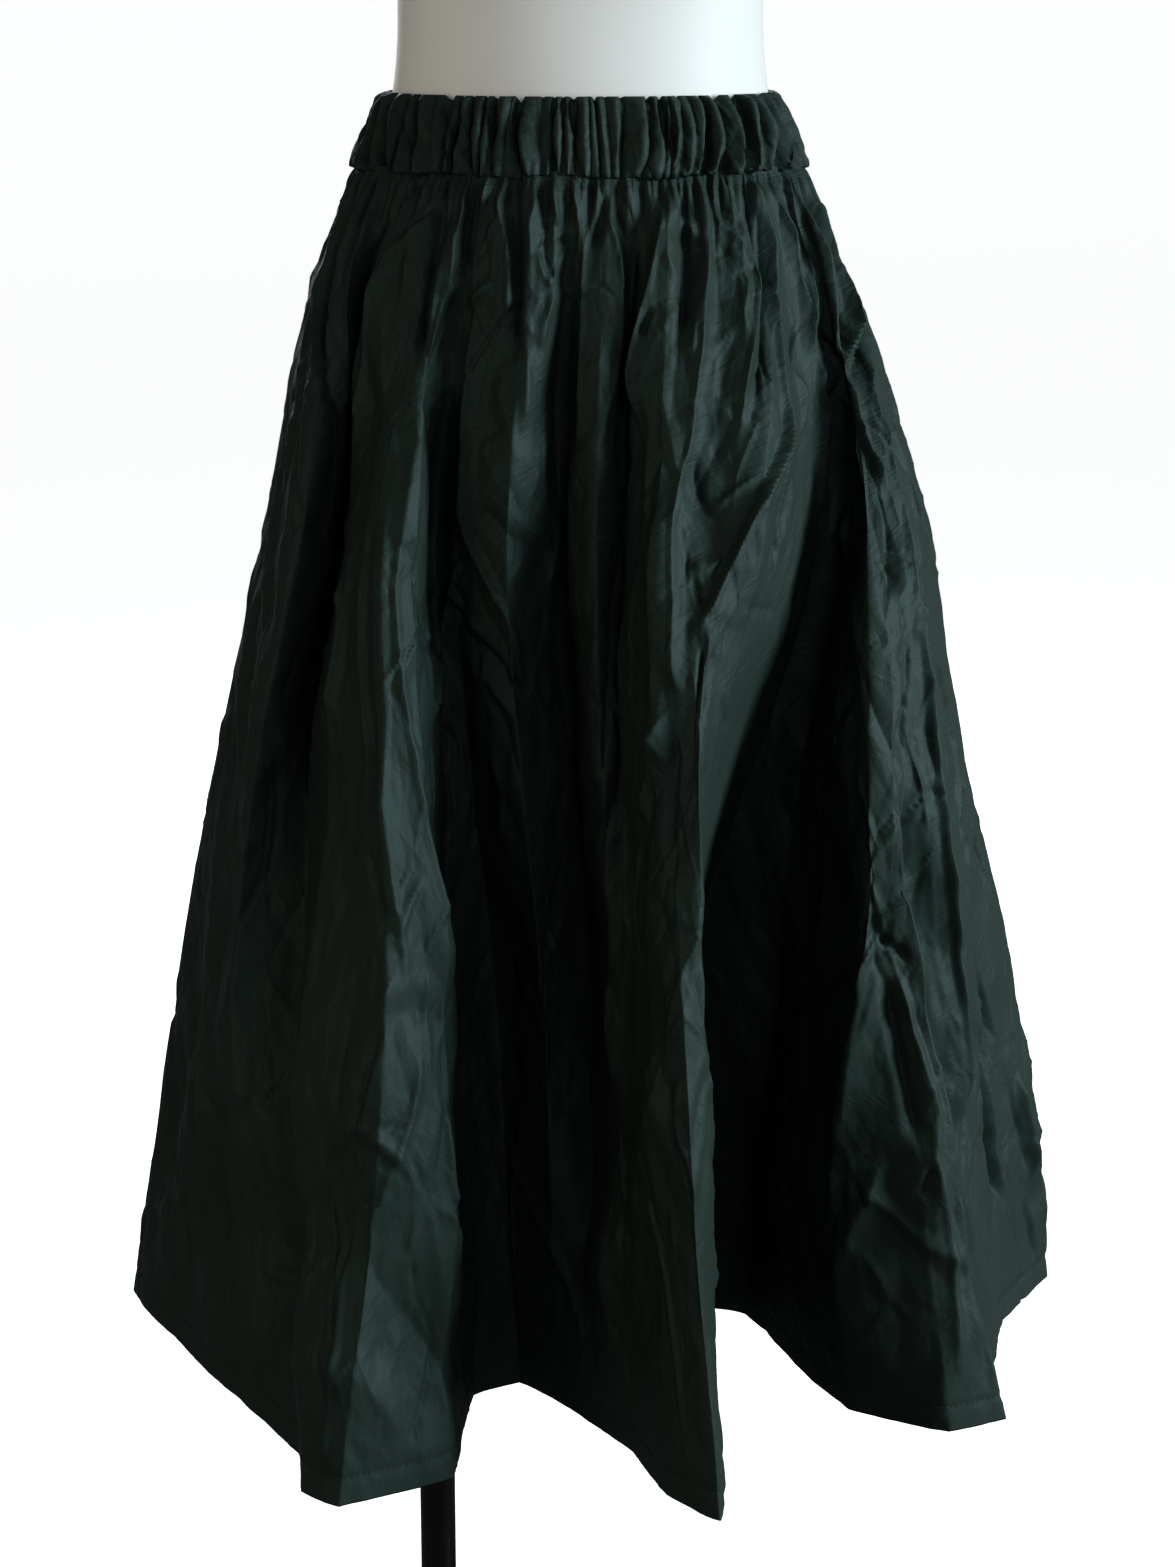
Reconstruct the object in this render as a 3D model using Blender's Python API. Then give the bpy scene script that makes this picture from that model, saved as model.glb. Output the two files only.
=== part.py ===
"""A gathered A-line skirt on a limbless dress form with its pole and base.

Metres, +Z up, the viewer at -Y. The origin is on the floor, under the form's
axis. Every panel of cloth is a closed wall between an outer and an inner ring
of points. The rings come from FOLD_LINES: each row is one line that runs down
the cloth from the waist seam to the hem, along the crest or the bottom of a
fold. The small gathers under the waist seam and in the waistband are added to
the rings as waves that die out down the cloth.
"""

import math
from collections import namedtuple

import bmesh
import bpy
import numpy as np

MM = 0.001

# Skirt: heights are above the floor, drops are below the skirt's top edge.
WAIST_TOP = 1.150
BAND_HEIGHT = 46 * MM
SKIRT_LENGTH = 820 * MM
CLOTH = 1.6 * MM
BAND_WALL = 2.4 * MM
PIECE_GAP = 0.3 * MM

# Half width (X) and half depth (Y) of the sections near the waist.
BAND_TOP = (0.1245, 0.0968)
BAND_BOTTOM = (0.1450, 0.1140)
HIGH_HIP = (0.1590, 0.1250)

HIGH_DROP = 105 * MM
HIP_DROP = 270 * MM
KNEE_DROP = 520 * MM
FOLD_AT_HIGH = 0.18  # how much of its hip shape a fold has at HIGH_DROP

# Gathers: one crest and one trough each, all round.
GATHERS = 72
GATHER_DEPTH = 2.6 * MM  # crest or trough from the smooth section
GATHER_SHORTEST = 70 * MM
GATHER_LONGEST = 300 * MM
SHORT_GATHERS = 2.0  # power: above 1 there are more short gathers than long ones
GATHER_FADE = 1.3  # power: above 1 a gather is shallow for most of its length
BAND_GATHER_DEPTH = 1.7 * MM

# How unevenly a run of gathers varies: the pace of its waves, and their strength.
Uneven = namedtuple("Uneven", "pace strength")
GATHER_WIDTHS = Uneven(2.4, 0.35)
GATHER_LENGTHS = Uneven(1.7, 0.95)
GATHER_DEPTHS = Uneven(3.9, 0.25)
BAND_DEPTHS = Uneven(2.9, 0.30)

# The waistband from its top edge (share 0) to the waist seam (share 1), and how far
# it puffs out between them.
BandRow = namedtuple("BandRow", "share puff")
BAND_ROWS = (
    BandRow(0.00, 0.0 * MM),
    BandRow(0.30, 1.2 * MM),
    BandRow(0.72, 1.0 * MM),
    BandRow(1.00, 0.0 * MM),
)

# Rows of points down the skirt, closest under the gathers.
SKIRT_DROPS = BAND_HEIGHT + MM * np.array([0.15, 9, 22, 40, 65, 100, 150, 215, 290, 375, 470, 570, 670, 774])
SHARPEST_MITRE = 0.45  # a corner's cosine, below which its inner point moves in no further

# Dress form and stand.
POLE_X = -0.1025
POLE_RADIUS = 12.5 * MM
COLLAR_RADIUS = 21 * MM
COLLAR_HEIGHT = 34 * MM
BASE_RADIUS = 180 * MM
BASE_HEIGHT = 5 * MM
BASE_BEVEL = 1.5 * MM

# One row for each fold line. round: 0 is a pressed edge, 1 a soft one. seam: where
# the line starts on the waist seam, in degrees from the viewer's left through the
# front. hip, knee and hem: where it passes those drops, in plan.
FoldLine = namedtuple("FoldLine", "name round seam hip_x hip_y knee_x knee_y hem_x hem_y")
FOLD_LINES = (
    FoldLine("left_side", 0.8, 0, -0.207, 0.010, -0.263, 0.005, -0.3150, 0.000),
    FoldLine("left_panel", 0.7, 14, -0.199, -0.055, -0.246, -0.055, -0.2555, -0.116),
    FoldLine("left_crest", 0.5, 27, -0.174, -0.104, -0.221, -0.110, -0.2055, -0.200),
    FoldLine("left_trough", 0.4, 40, -0.149, -0.066, -0.178, -0.112, -0.175, -0.250),
    FoldLine("front_left_edge", 0.4, 47.5, -0.143, -0.125, -0.168, -0.190, -0.170, -0.300),
    FoldLine("front_left_crest", 0.4, 55, -0.123, -0.170, -0.115, -0.252, -0.145, -0.320),
    FoldLine("front_left_lip", 0.5, 61, -0.102, -0.168, -0.083, -0.228, -0.077, -0.283),
    FoldLine("front_left_turn", 0.5, 67, -0.088, -0.124, -0.078, -0.155, -0.069, -0.169),
    FoldLine("centre_left_trough", 0.5, 72, -0.074, -0.136, -0.058, -0.126, -0.040, -0.150),
    FoldLine("centre_crest", 0.5, 79, -0.044, -0.163, -0.026, -0.168, -0.014, -0.179),
    FoldLine("centre_trough", 0.4, 88, -0.008, -0.120, 0.002, -0.132, 0.012, -0.217),
    FoldLine("centre_ridge", 0.5, 94.5, 0.010, -0.156, 0.016, -0.178, 0.022, -0.233),
    FoldLine("front_right_rise", 0.5, 101, 0.026, -0.138, 0.026, -0.188, 0.033, -0.249),
    FoldLine("front_right_face", 0.5, 110, 0.044, -0.176, 0.041, -0.238, 0.054, -0.304),
    FoldLine("front_right_crest", 0.25, 120, 0.058, -0.192, 0.061, -0.270, 0.083, -0.336),
    FoldLine("front_right_tuck", 0.4, 126, 0.068, -0.136, 0.069, -0.215, 0.089, -0.270),
    FoldLine("front_right_turn", 0.5, 135, 0.098, -0.142, 0.074, -0.150, 0.090, -0.170),
    FoldLine("right_trough", 0.6, 145, 0.138, -0.080, 0.084, -0.068, 0.088, -0.035),
    FoldLine("right_floor", 0.6, 150, 0.153, -0.084, 0.128, -0.088, 0.112, -0.045),
    FoldLine("right_rise", 0.4, 156, 0.173, -0.124, 0.187, -0.168, 0.163, -0.183),
    FoldLine("right_crest", 0.5, 161, 0.194, -0.118, 0.218, -0.182, 0.233, -0.220),
    FoldLine("right_lip", 0.3, 168, 0.213, -0.068, 0.240, -0.138, 0.271, -0.203),
    FoldLine("right_turn", 0.4, 174, 0.213, -0.030, 0.249, -0.052, 0.289, -0.054),
    FoldLine("right_side", 0.6, 180, 0.226, 0.006, 0.2780, 0.010, 0.3300, 0.020),
    FoldLine("back_right_edge", 0.5, 190, 0.213, 0.047, 0.260, 0.072, 0.315, 0.088),
    FoldLine("back_right_trough", 0.5, 199, 0.180, 0.075, 0.194, 0.101, 0.228, 0.108),
    FoldLine("back_right_crest", 0.4, 210, 0.181, 0.122, 0.216, 0.175, 0.262, 0.195),
    FoldLine("back_right_lip", 0.5, 221, 0.143, 0.157, 0.162, 0.225, 0.205, 0.268),
    FoldLine("back_trough_a", 0.5, 234, 0.100, 0.125, 0.104, 0.143, 0.125, 0.165),
    FoldLine("back_crest_a", 0.4, 247, 0.075, 0.176, 0.093, 0.232, 0.118, 0.290),
    FoldLine("back_lip_a", 0.5, 260, 0.030, 0.190, 0.035, 0.260, 0.052, 0.332),
    FoldLine("back_trough_b", 0.5, 270, 0.000, 0.132, 0.004, 0.150, 0.014, 0.196),
    FoldLine("back_crest_b", 0.4, 281, -0.034, 0.178, -0.036, 0.236, -0.022, 0.296),
    FoldLine("back_lip_b", 0.5, 295, -0.085, 0.172, -0.092, 0.240, -0.105, 0.318),
    FoldLine("back_left_trough", 0.5, 310, -0.112, 0.123, -0.118, 0.146, -0.134, 0.172),
    FoldLine("back_left_crest", 0.4, 323, -0.158, 0.135, -0.176, 0.196, -0.202, 0.246),
    FoldLine("back_left_lip", 0.5, 335, -0.188, 0.094, -0.226, 0.140, -0.270, 0.176),
    FoldLine("back_left_turn", 0.5, 347, -0.186, 0.052, -0.216, 0.070, -0.246, 0.080),
)

# Sections of the dress form, from its underside to its neck: height above the
# skirt's top edge, half width, depth to the front and to the back, and how square
# the section is (2 is an ellipse).
FormSection = namedtuple("FormSection", "rise half_width front back square")
FORM_SECTIONS = (
    FormSection(-0.290, 0.128, 0.082, 0.086, 2.0),
    FormSection(-0.279, 0.147, 0.094, 0.100, 2.0),
    FormSection(-0.240, 0.159, 0.101, 0.111, 2.0),
    FormSection(-0.190, 0.1615, 0.103, 0.115, 2.0),
    FormSection(-0.130, 0.1550, 0.101, 0.109, 2.0),
    FormSection(-0.085, 0.1430, 0.097, 0.101, 2.0),
    FormSection(-0.046, 0.1310, 0.095, 0.095, 2.0),
    FormSection(-0.020, 0.1230, 0.0925, 0.0920, 2.0),
    FormSection(0.000, 0.1190, 0.0915, 0.0915, 2.0),
    FormSection(0.055, 0.1150, 0.0880, 0.0860, 2.1),
    FormSection(0.110, 0.1190, 0.0950, 0.0880, 2.2),
    FormSection(0.165, 0.1300, 0.1080, 0.0940, 2.3),
    FormSection(0.215, 0.1390, 0.1260, 0.0980, 2.3),
    FormSection(0.255, 0.1430, 0.1300, 0.1010, 2.3),
    FormSection(0.300, 0.1480, 0.1180, 0.1020, 2.3),
    FormSection(0.345, 0.1560, 0.0970, 0.0960, 2.4),
    FormSection(0.378, 0.1540, 0.0820, 0.0860, 2.4),
    FormSection(0.400, 0.1380, 0.0720, 0.0780, 2.3),
    FormSection(0.418, 0.1080, 0.0640, 0.0700, 2.2),
    FormSection(0.434, 0.0800, 0.0580, 0.0630, 2.0),
    FormSection(0.455, 0.0620, 0.0530, 0.0570, 2.0),
    FormSection(0.485, 0.0560, 0.0510, 0.0530, 2.0),
    FormSection(0.495, 0.0530, 0.0480, 0.0500, 2.0),
    FormSection(0.500, 0.0460, 0.0410, 0.0430, 2.0),
)
FORM_SIDES = 40

COLOURS = {
    "cloth": (0.022, 0.035, 0.031, 1.0),
    "form": (0.80, 0.79, 0.77, 1.0),
    "steel": (0.012, 0.012, 0.013, 1.0),
}


def clear_scene():
    for obj in list(bpy.data.objects):
        bpy.data.objects.remove(obj)


def material(name, colour, roughness, metallic=0.0):
    made = bpy.data.materials.new(name)
    made.use_nodes = True
    shader = made.node_tree.nodes["Principled BSDF"]
    shader.inputs["Base Color"].default_value = colour
    shader.inputs["Roughness"].default_value = roughness
    shader.inputs["Metallic"].default_value = metallic
    return made


def add_object(mesh, finish):
    """Links a mesh as one object of its name, smooth but for its edges over 40 degrees."""
    mesh.materials.append(finish)
    mesh.shade_smooth()
    mesh.set_sharp_from_angle(angle=math.radians(40))
    bpy.context.scene.collection.objects.link(bpy.data.objects.new(mesh.name, mesh))


def mesh_from_points(name, points, faces):
    mesh = bpy.data.meshes.new(name)
    mesh.from_pydata([tuple(p) for p in points], [], faces)
    return mesh


# ---- plan sections of the skirt ----


def ellipse_point(half_sizes, degrees):
    """A point of an ellipse, 0 degrees at the viewer's left and 90 at the front."""
    angle = np.radians(degrees)
    return np.stack([-half_sizes[0] * np.cos(angle), -half_sizes[1] * np.sin(angle)], axis=-1)


def fold_levels():
    """Plan points of every fold line at the five level drops, as (level, line, 2)."""
    seam_degrees = np.array([line.seam for line in FOLD_LINES], float)
    seam = ellipse_point(BAND_BOTTOM, seam_degrees)
    hip = np.array([(line.hip_x, line.hip_y) for line in FOLD_LINES])
    knee = np.array([(line.knee_x, line.knee_y) for line in FOLD_LINES])
    hem = np.array([(line.hem_x, line.hem_y) for line in FOLD_LINES])
    high = ellipse_point(HIGH_HIP, seam_degrees) * (1 - FOLD_AT_HIGH) + hip * FOLD_AT_HIGH
    return np.stack([seam, high, hip, knee, hem])


def line_shares():
    """Where each fold line starts on the seam, as a share of the way round."""
    return np.array([line.seam / 360 for line in FOLD_LINES])


def hermite(share, left, right, slope_left, slope_right, width):
    """Cubic between two values, share running from 0 to 1 over a span of that width."""
    s2, s3 = share**2, share**3
    return (
        (2 * s3 - 3 * s2 + 1) * left
        + (s3 - 2 * s2 + share) * width * slope_left
        + (3 * s2 - 2 * s3) * right
        + (s3 - s2) * width * slope_right
    )


def section_curve(points, shares, softness, at):
    """A closed plan curve through the fold lines' points, read at cloth shares `at`.
    It turns a corner at a pressed edge and runs round a soft one."""
    gap_before = ((shares - np.roll(shares, 1)) % 1.0)[:, None]
    gap_after = ((np.roll(shares, -1) - shares) % 1.0)[:, None]
    slope_in = (points - np.roll(points, 1, axis=0)) / gap_before
    slope_out = (np.roll(points, -1, axis=0) - points) / gap_after
    weight = gap_after / (gap_before + gap_after)
    through = slope_in * weight + slope_out * (1 - weight)
    soft = softness[:, None]
    arriving = soft * through + (1 - soft) * slope_in
    leaving = soft * through + (1 - soft) * slope_out
    start = (np.searchsorted(shares, at, side="right") - 1) % len(shares)
    end = (start + 1) % len(shares)
    width = gap_after[start]
    share = (((at - shares[start]) % 1.0)[:, None]) / width
    return hermite(share, points[start], points[end], leaving[start], arriving[end], width)


def down_the_cloth(levels, level_drops, drops):
    """Reads the level curves at any drop, with a smooth cubic down each column."""
    slopes = np.gradient(levels, level_drops, axis=0)
    rows = []
    for drop in drops:
        span = min(int(np.searchsorted(level_drops, drop, side="right")) - 1, len(level_drops) - 2)
        width = level_drops[span + 1] - level_drops[span]
        share = (drop - level_drops[span]) / width
        rows.append(hermite(share, levels[span], levels[span + 1], slopes[span], slopes[span + 1], width))
    return np.stack(rows)


def smooth_section(at, drops):
    """Plan points of the skirt without its gathers, as (drop, share, 2)."""
    shares = line_shares()
    softness = np.array([line.round for line in FOLD_LINES])
    curves = [section_curve(points, shares, softness, at) for points in fold_levels()]
    level_drops = np.array([BAND_HEIGHT, HIGH_DROP, HIP_DROP, KNEE_DROP, SKIRT_LENGTH])
    return down_the_cloth(np.stack(curves), level_drops, drops)


# ---- gathers ----


def uneven_run(count, uneven):
    """A repeatable run of numbers round 1, from a slow wave and a fast one."""
    slow = uneven.pace * np.arange(count)
    fast = 2.7 * slow + 1.0
    return 1 + uneven.strength * (0.6 * np.sin(slow) + 0.4 * np.sin(fast))


def gather_columns():
    """Cloth shares of all crests and troughs, unevenly spaced, alike in front and back.
    The first one is the left side seam and the middle one the right side seam."""
    edges = np.cumsum(uneven_run(GATHERS, GATHER_WIDTHS))
    half = np.concatenate([[0.0], edges[:-1]]) / edges[-1] / 2
    return np.concatenate([half, half + 0.5])


def crest_or_trough(columns):
    """1 for a crest, -1 for a trough, in turn."""
    return np.where(np.arange(columns) % 2 == 0, 1.0, -1.0)


def gather_depths(columns, drops):
    """How far each column stands out at each drop: crests out, troughs in. Each dies
    out at its own drop below the waist seam, and there is none at the side seams."""
    long_share = (uneven_run(columns, GATHER_LENGTHS) / 2) ** SHORT_GATHERS
    lengths = GATHER_SHORTEST + (GATHER_LONGEST - GATHER_SHORTEST) * long_share
    below_seam = np.asarray(drops)[:, None] - BAND_HEIGHT
    left = np.clip(1 - below_seam / lengths, 0, 1) ** GATHER_FADE
    depths = GATHER_DEPTH * uneven_run(columns, GATHER_DEPTHS) * crest_or_trough(columns) * left
    depths[:, [0, columns // 2]] = 0
    return depths


def outward(points):
    """Unit normals of closed plan rings that run round from the left through the front."""
    along = np.roll(points, -1, axis=-2) - np.roll(points, 1, axis=-2)
    normals = np.stack([along[..., 1], -along[..., 0]], axis=-1)
    return normals / np.linalg.norm(normals, axis=-1, keepdims=True)


def inner_ring(points, thickness):
    """The ring's points moved in by the wall's thickness, mitred at its corners."""
    ahead = np.roll(points, -1, axis=-2) - points
    ahead /= np.linalg.norm(ahead, axis=-1, keepdims=True)
    behind = np.roll(ahead, 1, axis=-2)
    middle = ahead + behind
    length = np.linalg.norm(middle, axis=-1, keepdims=True)
    middle /= length
    mitre = 1 / np.clip(length / 2, SHARPEST_MITRE, 1)
    inward = np.stack([-middle[..., 1], middle[..., 0]], axis=-1)
    return points + inward * thickness * mitre


# ---- walls of cloth ----


def grid_wall(outer, inner, closed):
    """Points and faces of a closed wall between two grids of points, (row, column, 3),
    with rows going down and columns going round from the left through the front."""
    rows, columns = outer.shape[:2]
    points = np.concatenate([outer.reshape(-1, 3), inner.reshape(-1, 3)])
    faces = []

    def corner(row, column, side):
        return (side * rows + row) * columns + column % columns

    for column in range(columns if closed else columns - 1):
        ahead = column + 1
        for row in range(rows - 1):
            quad = [(row, column), (row + 1, column), (row + 1, ahead), (row, ahead)]
            faces.append([corner(r, c, 0) for r, c in quad])
            faces.append([corner(r, c, 1) for r, c in reversed(quad)])
        for row, step in ((0, -1), (rows - 1, 1)):
            rim = [(column, 0), (column, 1), (ahead, 1), (ahead, 0)]
            faces.append([corner(row, c, side) for c, side in rim[::step]])
    if not closed:
        for column, step in ((0, 1), (columns - 1, -1)):
            for row in range(rows - 1):
                end = [(row, 0), (row, 1), (row + 1, 1), (row + 1, 0)]
                faces.append([corner(r, column, side) for r, side in end[::step]])
    return points, faces


def raised(plan, drops):
    """Plan points (row, column, 2) lifted to their heights."""
    heights = np.broadcast_to((WAIST_TOP - np.asarray(drops))[:, None, None], plan.shape[:2] + (1,))
    return np.concatenate([plan, heights], axis=-1)


def panel(name, outer_plan, inner_plan, seams, finish):
    """The wall between two seams. Its ends are cut square across, clear of the seam."""
    picked = np.arange(seams[0], seams[1] + 1) % outer_plan.shape[1]
    outer_plan, inner_plan = outer_plan[:, picked], inner_plan[:, picked]
    towards_panel = np.sign(outer_plan[0, len(picked) // 2, 1])
    for end in (0, -1):
        towards_axis = -np.sign(outer_plan[0, end, 0])
        outer_plan[:, end, 1] += towards_panel * PIECE_GAP / 2
        inner_plan[:, end] = outer_plan[:, end] + (towards_axis * CLOTH, 0)
    walls = raised(outer_plan, SKIRT_DROPS), raised(inner_plan, SKIRT_DROPS)
    add_object(mesh_from_points(name, *grid_wall(*walls, closed=False)), finish)


def skirt_panels(finish):
    """Front and back panels, parted at the side seams. A column of points is moved onto
    each fold line, so that its edge stays crisp."""
    columns = gather_columns()
    for share in line_shares():
        columns[np.argmin(np.abs(columns - share))] = share
    count = len(columns)
    plan = smooth_section(columns, SKIRT_DROPS)
    plan = plan + outward(plan) * gather_depths(count, SKIRT_DROPS)[..., None]
    inner_plan = inner_ring(plan, CLOTH)
    panel("skirt_front", plan, inner_plan, (0, count // 2), finish)
    panel("skirt_back", plan, inner_plan, (count // 2, count), finish)


def waistband(finish):
    """One gathered tube, puffed out between its top edge and the waist seam."""
    columns = gather_columns()
    share = np.array([row.share for row in BAND_ROWS])[:, None, None]
    puff = np.array([row.puff for row in BAND_ROWS])[:, None]
    drops = share[:, 0, 0] * (BAND_HEIGHT - PIECE_GAP / 2)
    top = ellipse_point(BAND_TOP, columns * 360)
    bottom = ellipse_point(BAND_BOTTOM, columns * 360)
    plan = top * (1 - share) + bottom * share
    depths = BAND_GATHER_DEPTH * uneven_run(len(columns), BAND_DEPTHS) * crest_or_trough(len(columns))
    plan = plan + outward(plan) * (depths + puff)[..., None]
    walls = raised(plan, drops), raised(inner_ring(plan, BAND_WALL), drops)
    add_object(mesh_from_points("waistband", *grid_wall(*walls, closed=True)), finish)


# ---- dress form and stand ----


def form_ring(section):
    """A ring of the dress form: an ellipse with its own depth to the front and back,
    squared off by the section's own power."""
    angles = np.arange(FORM_SIDES) * 2 * math.pi / FORM_SIDES
    across, deep = (np.sign(v) * np.abs(v) ** (2 / section.square) for v in (np.cos(angles), np.sin(angles)))
    depth = np.where(deep > 0, section.front, section.back)
    height = np.full(FORM_SIDES, WAIST_TOP + section.rise)
    return np.stack([-section.half_width * across, -depth * deep, height], axis=-1)


def dress_form(finish):
    """The form's rings, joined by quads and closed with flat ends."""
    points = np.concatenate([form_ring(section) for section in FORM_SECTIONS])
    sides = np.arange(FORM_SIDES)
    ahead = np.roll(sides, -1)
    faces = [sides[::-1].tolist(), (len(points) - FORM_SIDES + sides).tolist()]
    for low in range(0, len(points) - FORM_SIDES, FORM_SIDES):
        high = low + FORM_SIDES
        faces += np.stack([low + sides, low + ahead, high + ahead, high + sides], axis=1).tolist()
    add_object(mesh_from_points("dress_form", points, faces), finish)


def turned(name, profile, finish, centre_x=0.0, hollow=False, steps=32):
    """A round piece: a profile of (radius, height) corners spun about an upright axis.
    A hollow one's profile closes on itself, and a solid one gets flat ends."""
    bm = bmesh.new()
    corners = [bm.verts.new((centre_x + radius, 0, height)) for radius, height in profile]
    sides = [bm.edges.new(pair) for pair in zip(corners, corners[1:])]
    if hollow:
        sides.append(bm.edges.new((corners[-1], corners[0])))
    bmesh.ops.spin(
        bm,
        geom=corners + sides,
        cent=(centre_x, 0, 0),
        axis=(0, 0, 1),
        angle=2 * math.pi,
        steps=steps,
        use_merge=True,
    )
    if not hollow:
        bmesh.ops.holes_fill(bm, edges=bm.edges, sides=0)
    bmesh.ops.recalc_face_normals(bm, faces=bm.faces)
    mesh = bpy.data.meshes.new(name)
    bm.to_mesh(mesh)
    bm.free()
    add_object(mesh, finish)


def collar(name, low, high, finish):
    """A ring round the pole."""
    bore = POLE_RADIUS + PIECE_GAP
    profile = [(bore, low), (COLLAR_RADIUS, low), (COLLAR_RADIUS, high), (bore, high)]
    turned(name, profile, finish, POLE_X, hollow=True)


def stand(finish):
    """Base plate and pole, with a collar where the pole meets the plate and the form."""
    form_bottom = WAIST_TOP + FORM_SECTIONS[0].rise
    bevel_start = (BASE_RADIUS, BASE_HEIGHT - BASE_BEVEL)
    bevel_end = (BASE_RADIUS - BASE_BEVEL, BASE_HEIGHT)
    turned("base_plate", [(BASE_RADIUS, 0.0), bevel_start, bevel_end], finish, steps=64)
    pole_ends = [(POLE_RADIUS, BASE_HEIGHT + PIECE_GAP), (POLE_RADIUS, form_bottom - PIECE_GAP)]
    turned("pole", pole_ends, finish, POLE_X)
    collar("base_collar", BASE_HEIGHT + PIECE_GAP, BASE_HEIGHT + COLLAR_HEIGHT, finish)
    collar("form_collar", form_bottom - COLLAR_HEIGHT, form_bottom - PIECE_GAP, finish)


def main():
    clear_scene()
    cloth = material("green_taffeta", COLOURS["cloth"], 0.5)
    shell = material("white_form", COLOURS["form"], 0.45)
    steel = material("black_steel", COLOURS["steel"], 0.4)
    skirt_panels(cloth)
    waistband(cloth)
    dress_form(shell)
    stand(steel)


main()
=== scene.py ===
"""A gathered A-line skirt of bottle-green taffeta on a limbless display form.

Metres, +Z up, the viewer at -Y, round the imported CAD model. The cloth is one
fine sheet for each panel, over the sections of the panel's solid, with the folds
on the right of the front cut finer. On it lie the gathers under the waist seam,
the creases of the table CREASES, and crumpled facets, stronger or fainter in the
patches of CRUMPLES. Places on the cloth are in the skirt's own sizes: degrees
round the waist seam, from the viewer's left (0) through the front (90), and
millimetres down from the skirt's top edge.
"""

import math
from collections import namedtuple

import bpy
import numpy as np
from mathutils import Euler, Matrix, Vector


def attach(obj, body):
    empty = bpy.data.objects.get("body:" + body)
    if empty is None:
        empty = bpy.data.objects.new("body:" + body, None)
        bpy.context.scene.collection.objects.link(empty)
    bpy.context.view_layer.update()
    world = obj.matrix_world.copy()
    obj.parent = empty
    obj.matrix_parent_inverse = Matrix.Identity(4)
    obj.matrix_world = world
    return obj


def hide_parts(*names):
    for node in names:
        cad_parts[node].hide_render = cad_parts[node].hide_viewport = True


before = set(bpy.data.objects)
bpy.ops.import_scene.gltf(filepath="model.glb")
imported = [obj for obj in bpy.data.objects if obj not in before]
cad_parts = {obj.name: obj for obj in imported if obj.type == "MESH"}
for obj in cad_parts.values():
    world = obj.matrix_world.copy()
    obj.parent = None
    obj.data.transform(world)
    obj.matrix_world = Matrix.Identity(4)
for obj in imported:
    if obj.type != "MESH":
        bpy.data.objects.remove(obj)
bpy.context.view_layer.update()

MM = 0.001

# ---- sizes of the skirt: overall as in the solids ----

WAIST_TOP = 1.150
BAND_HEIGHT = 46 * MM
SKIRT_LENGTH = 820 * MM
BAND_TOP = (0.1245, 0.0968)
BAND_BOTTOM = (0.1450, 0.1140)
HIGH_HIP = (0.1590, 0.1250)
HIGH_DROP = 105 * MM
HIP_DROP = 270 * MM
KNEE_DROP = 520 * MM
FOLD_AT_HIGH = 0.18  # how much of its hip shape a fold has at HIGH_DROP
CRISPNESS = 0.45  # the fine cloth's folds turn this much as softly as the solid's

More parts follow.
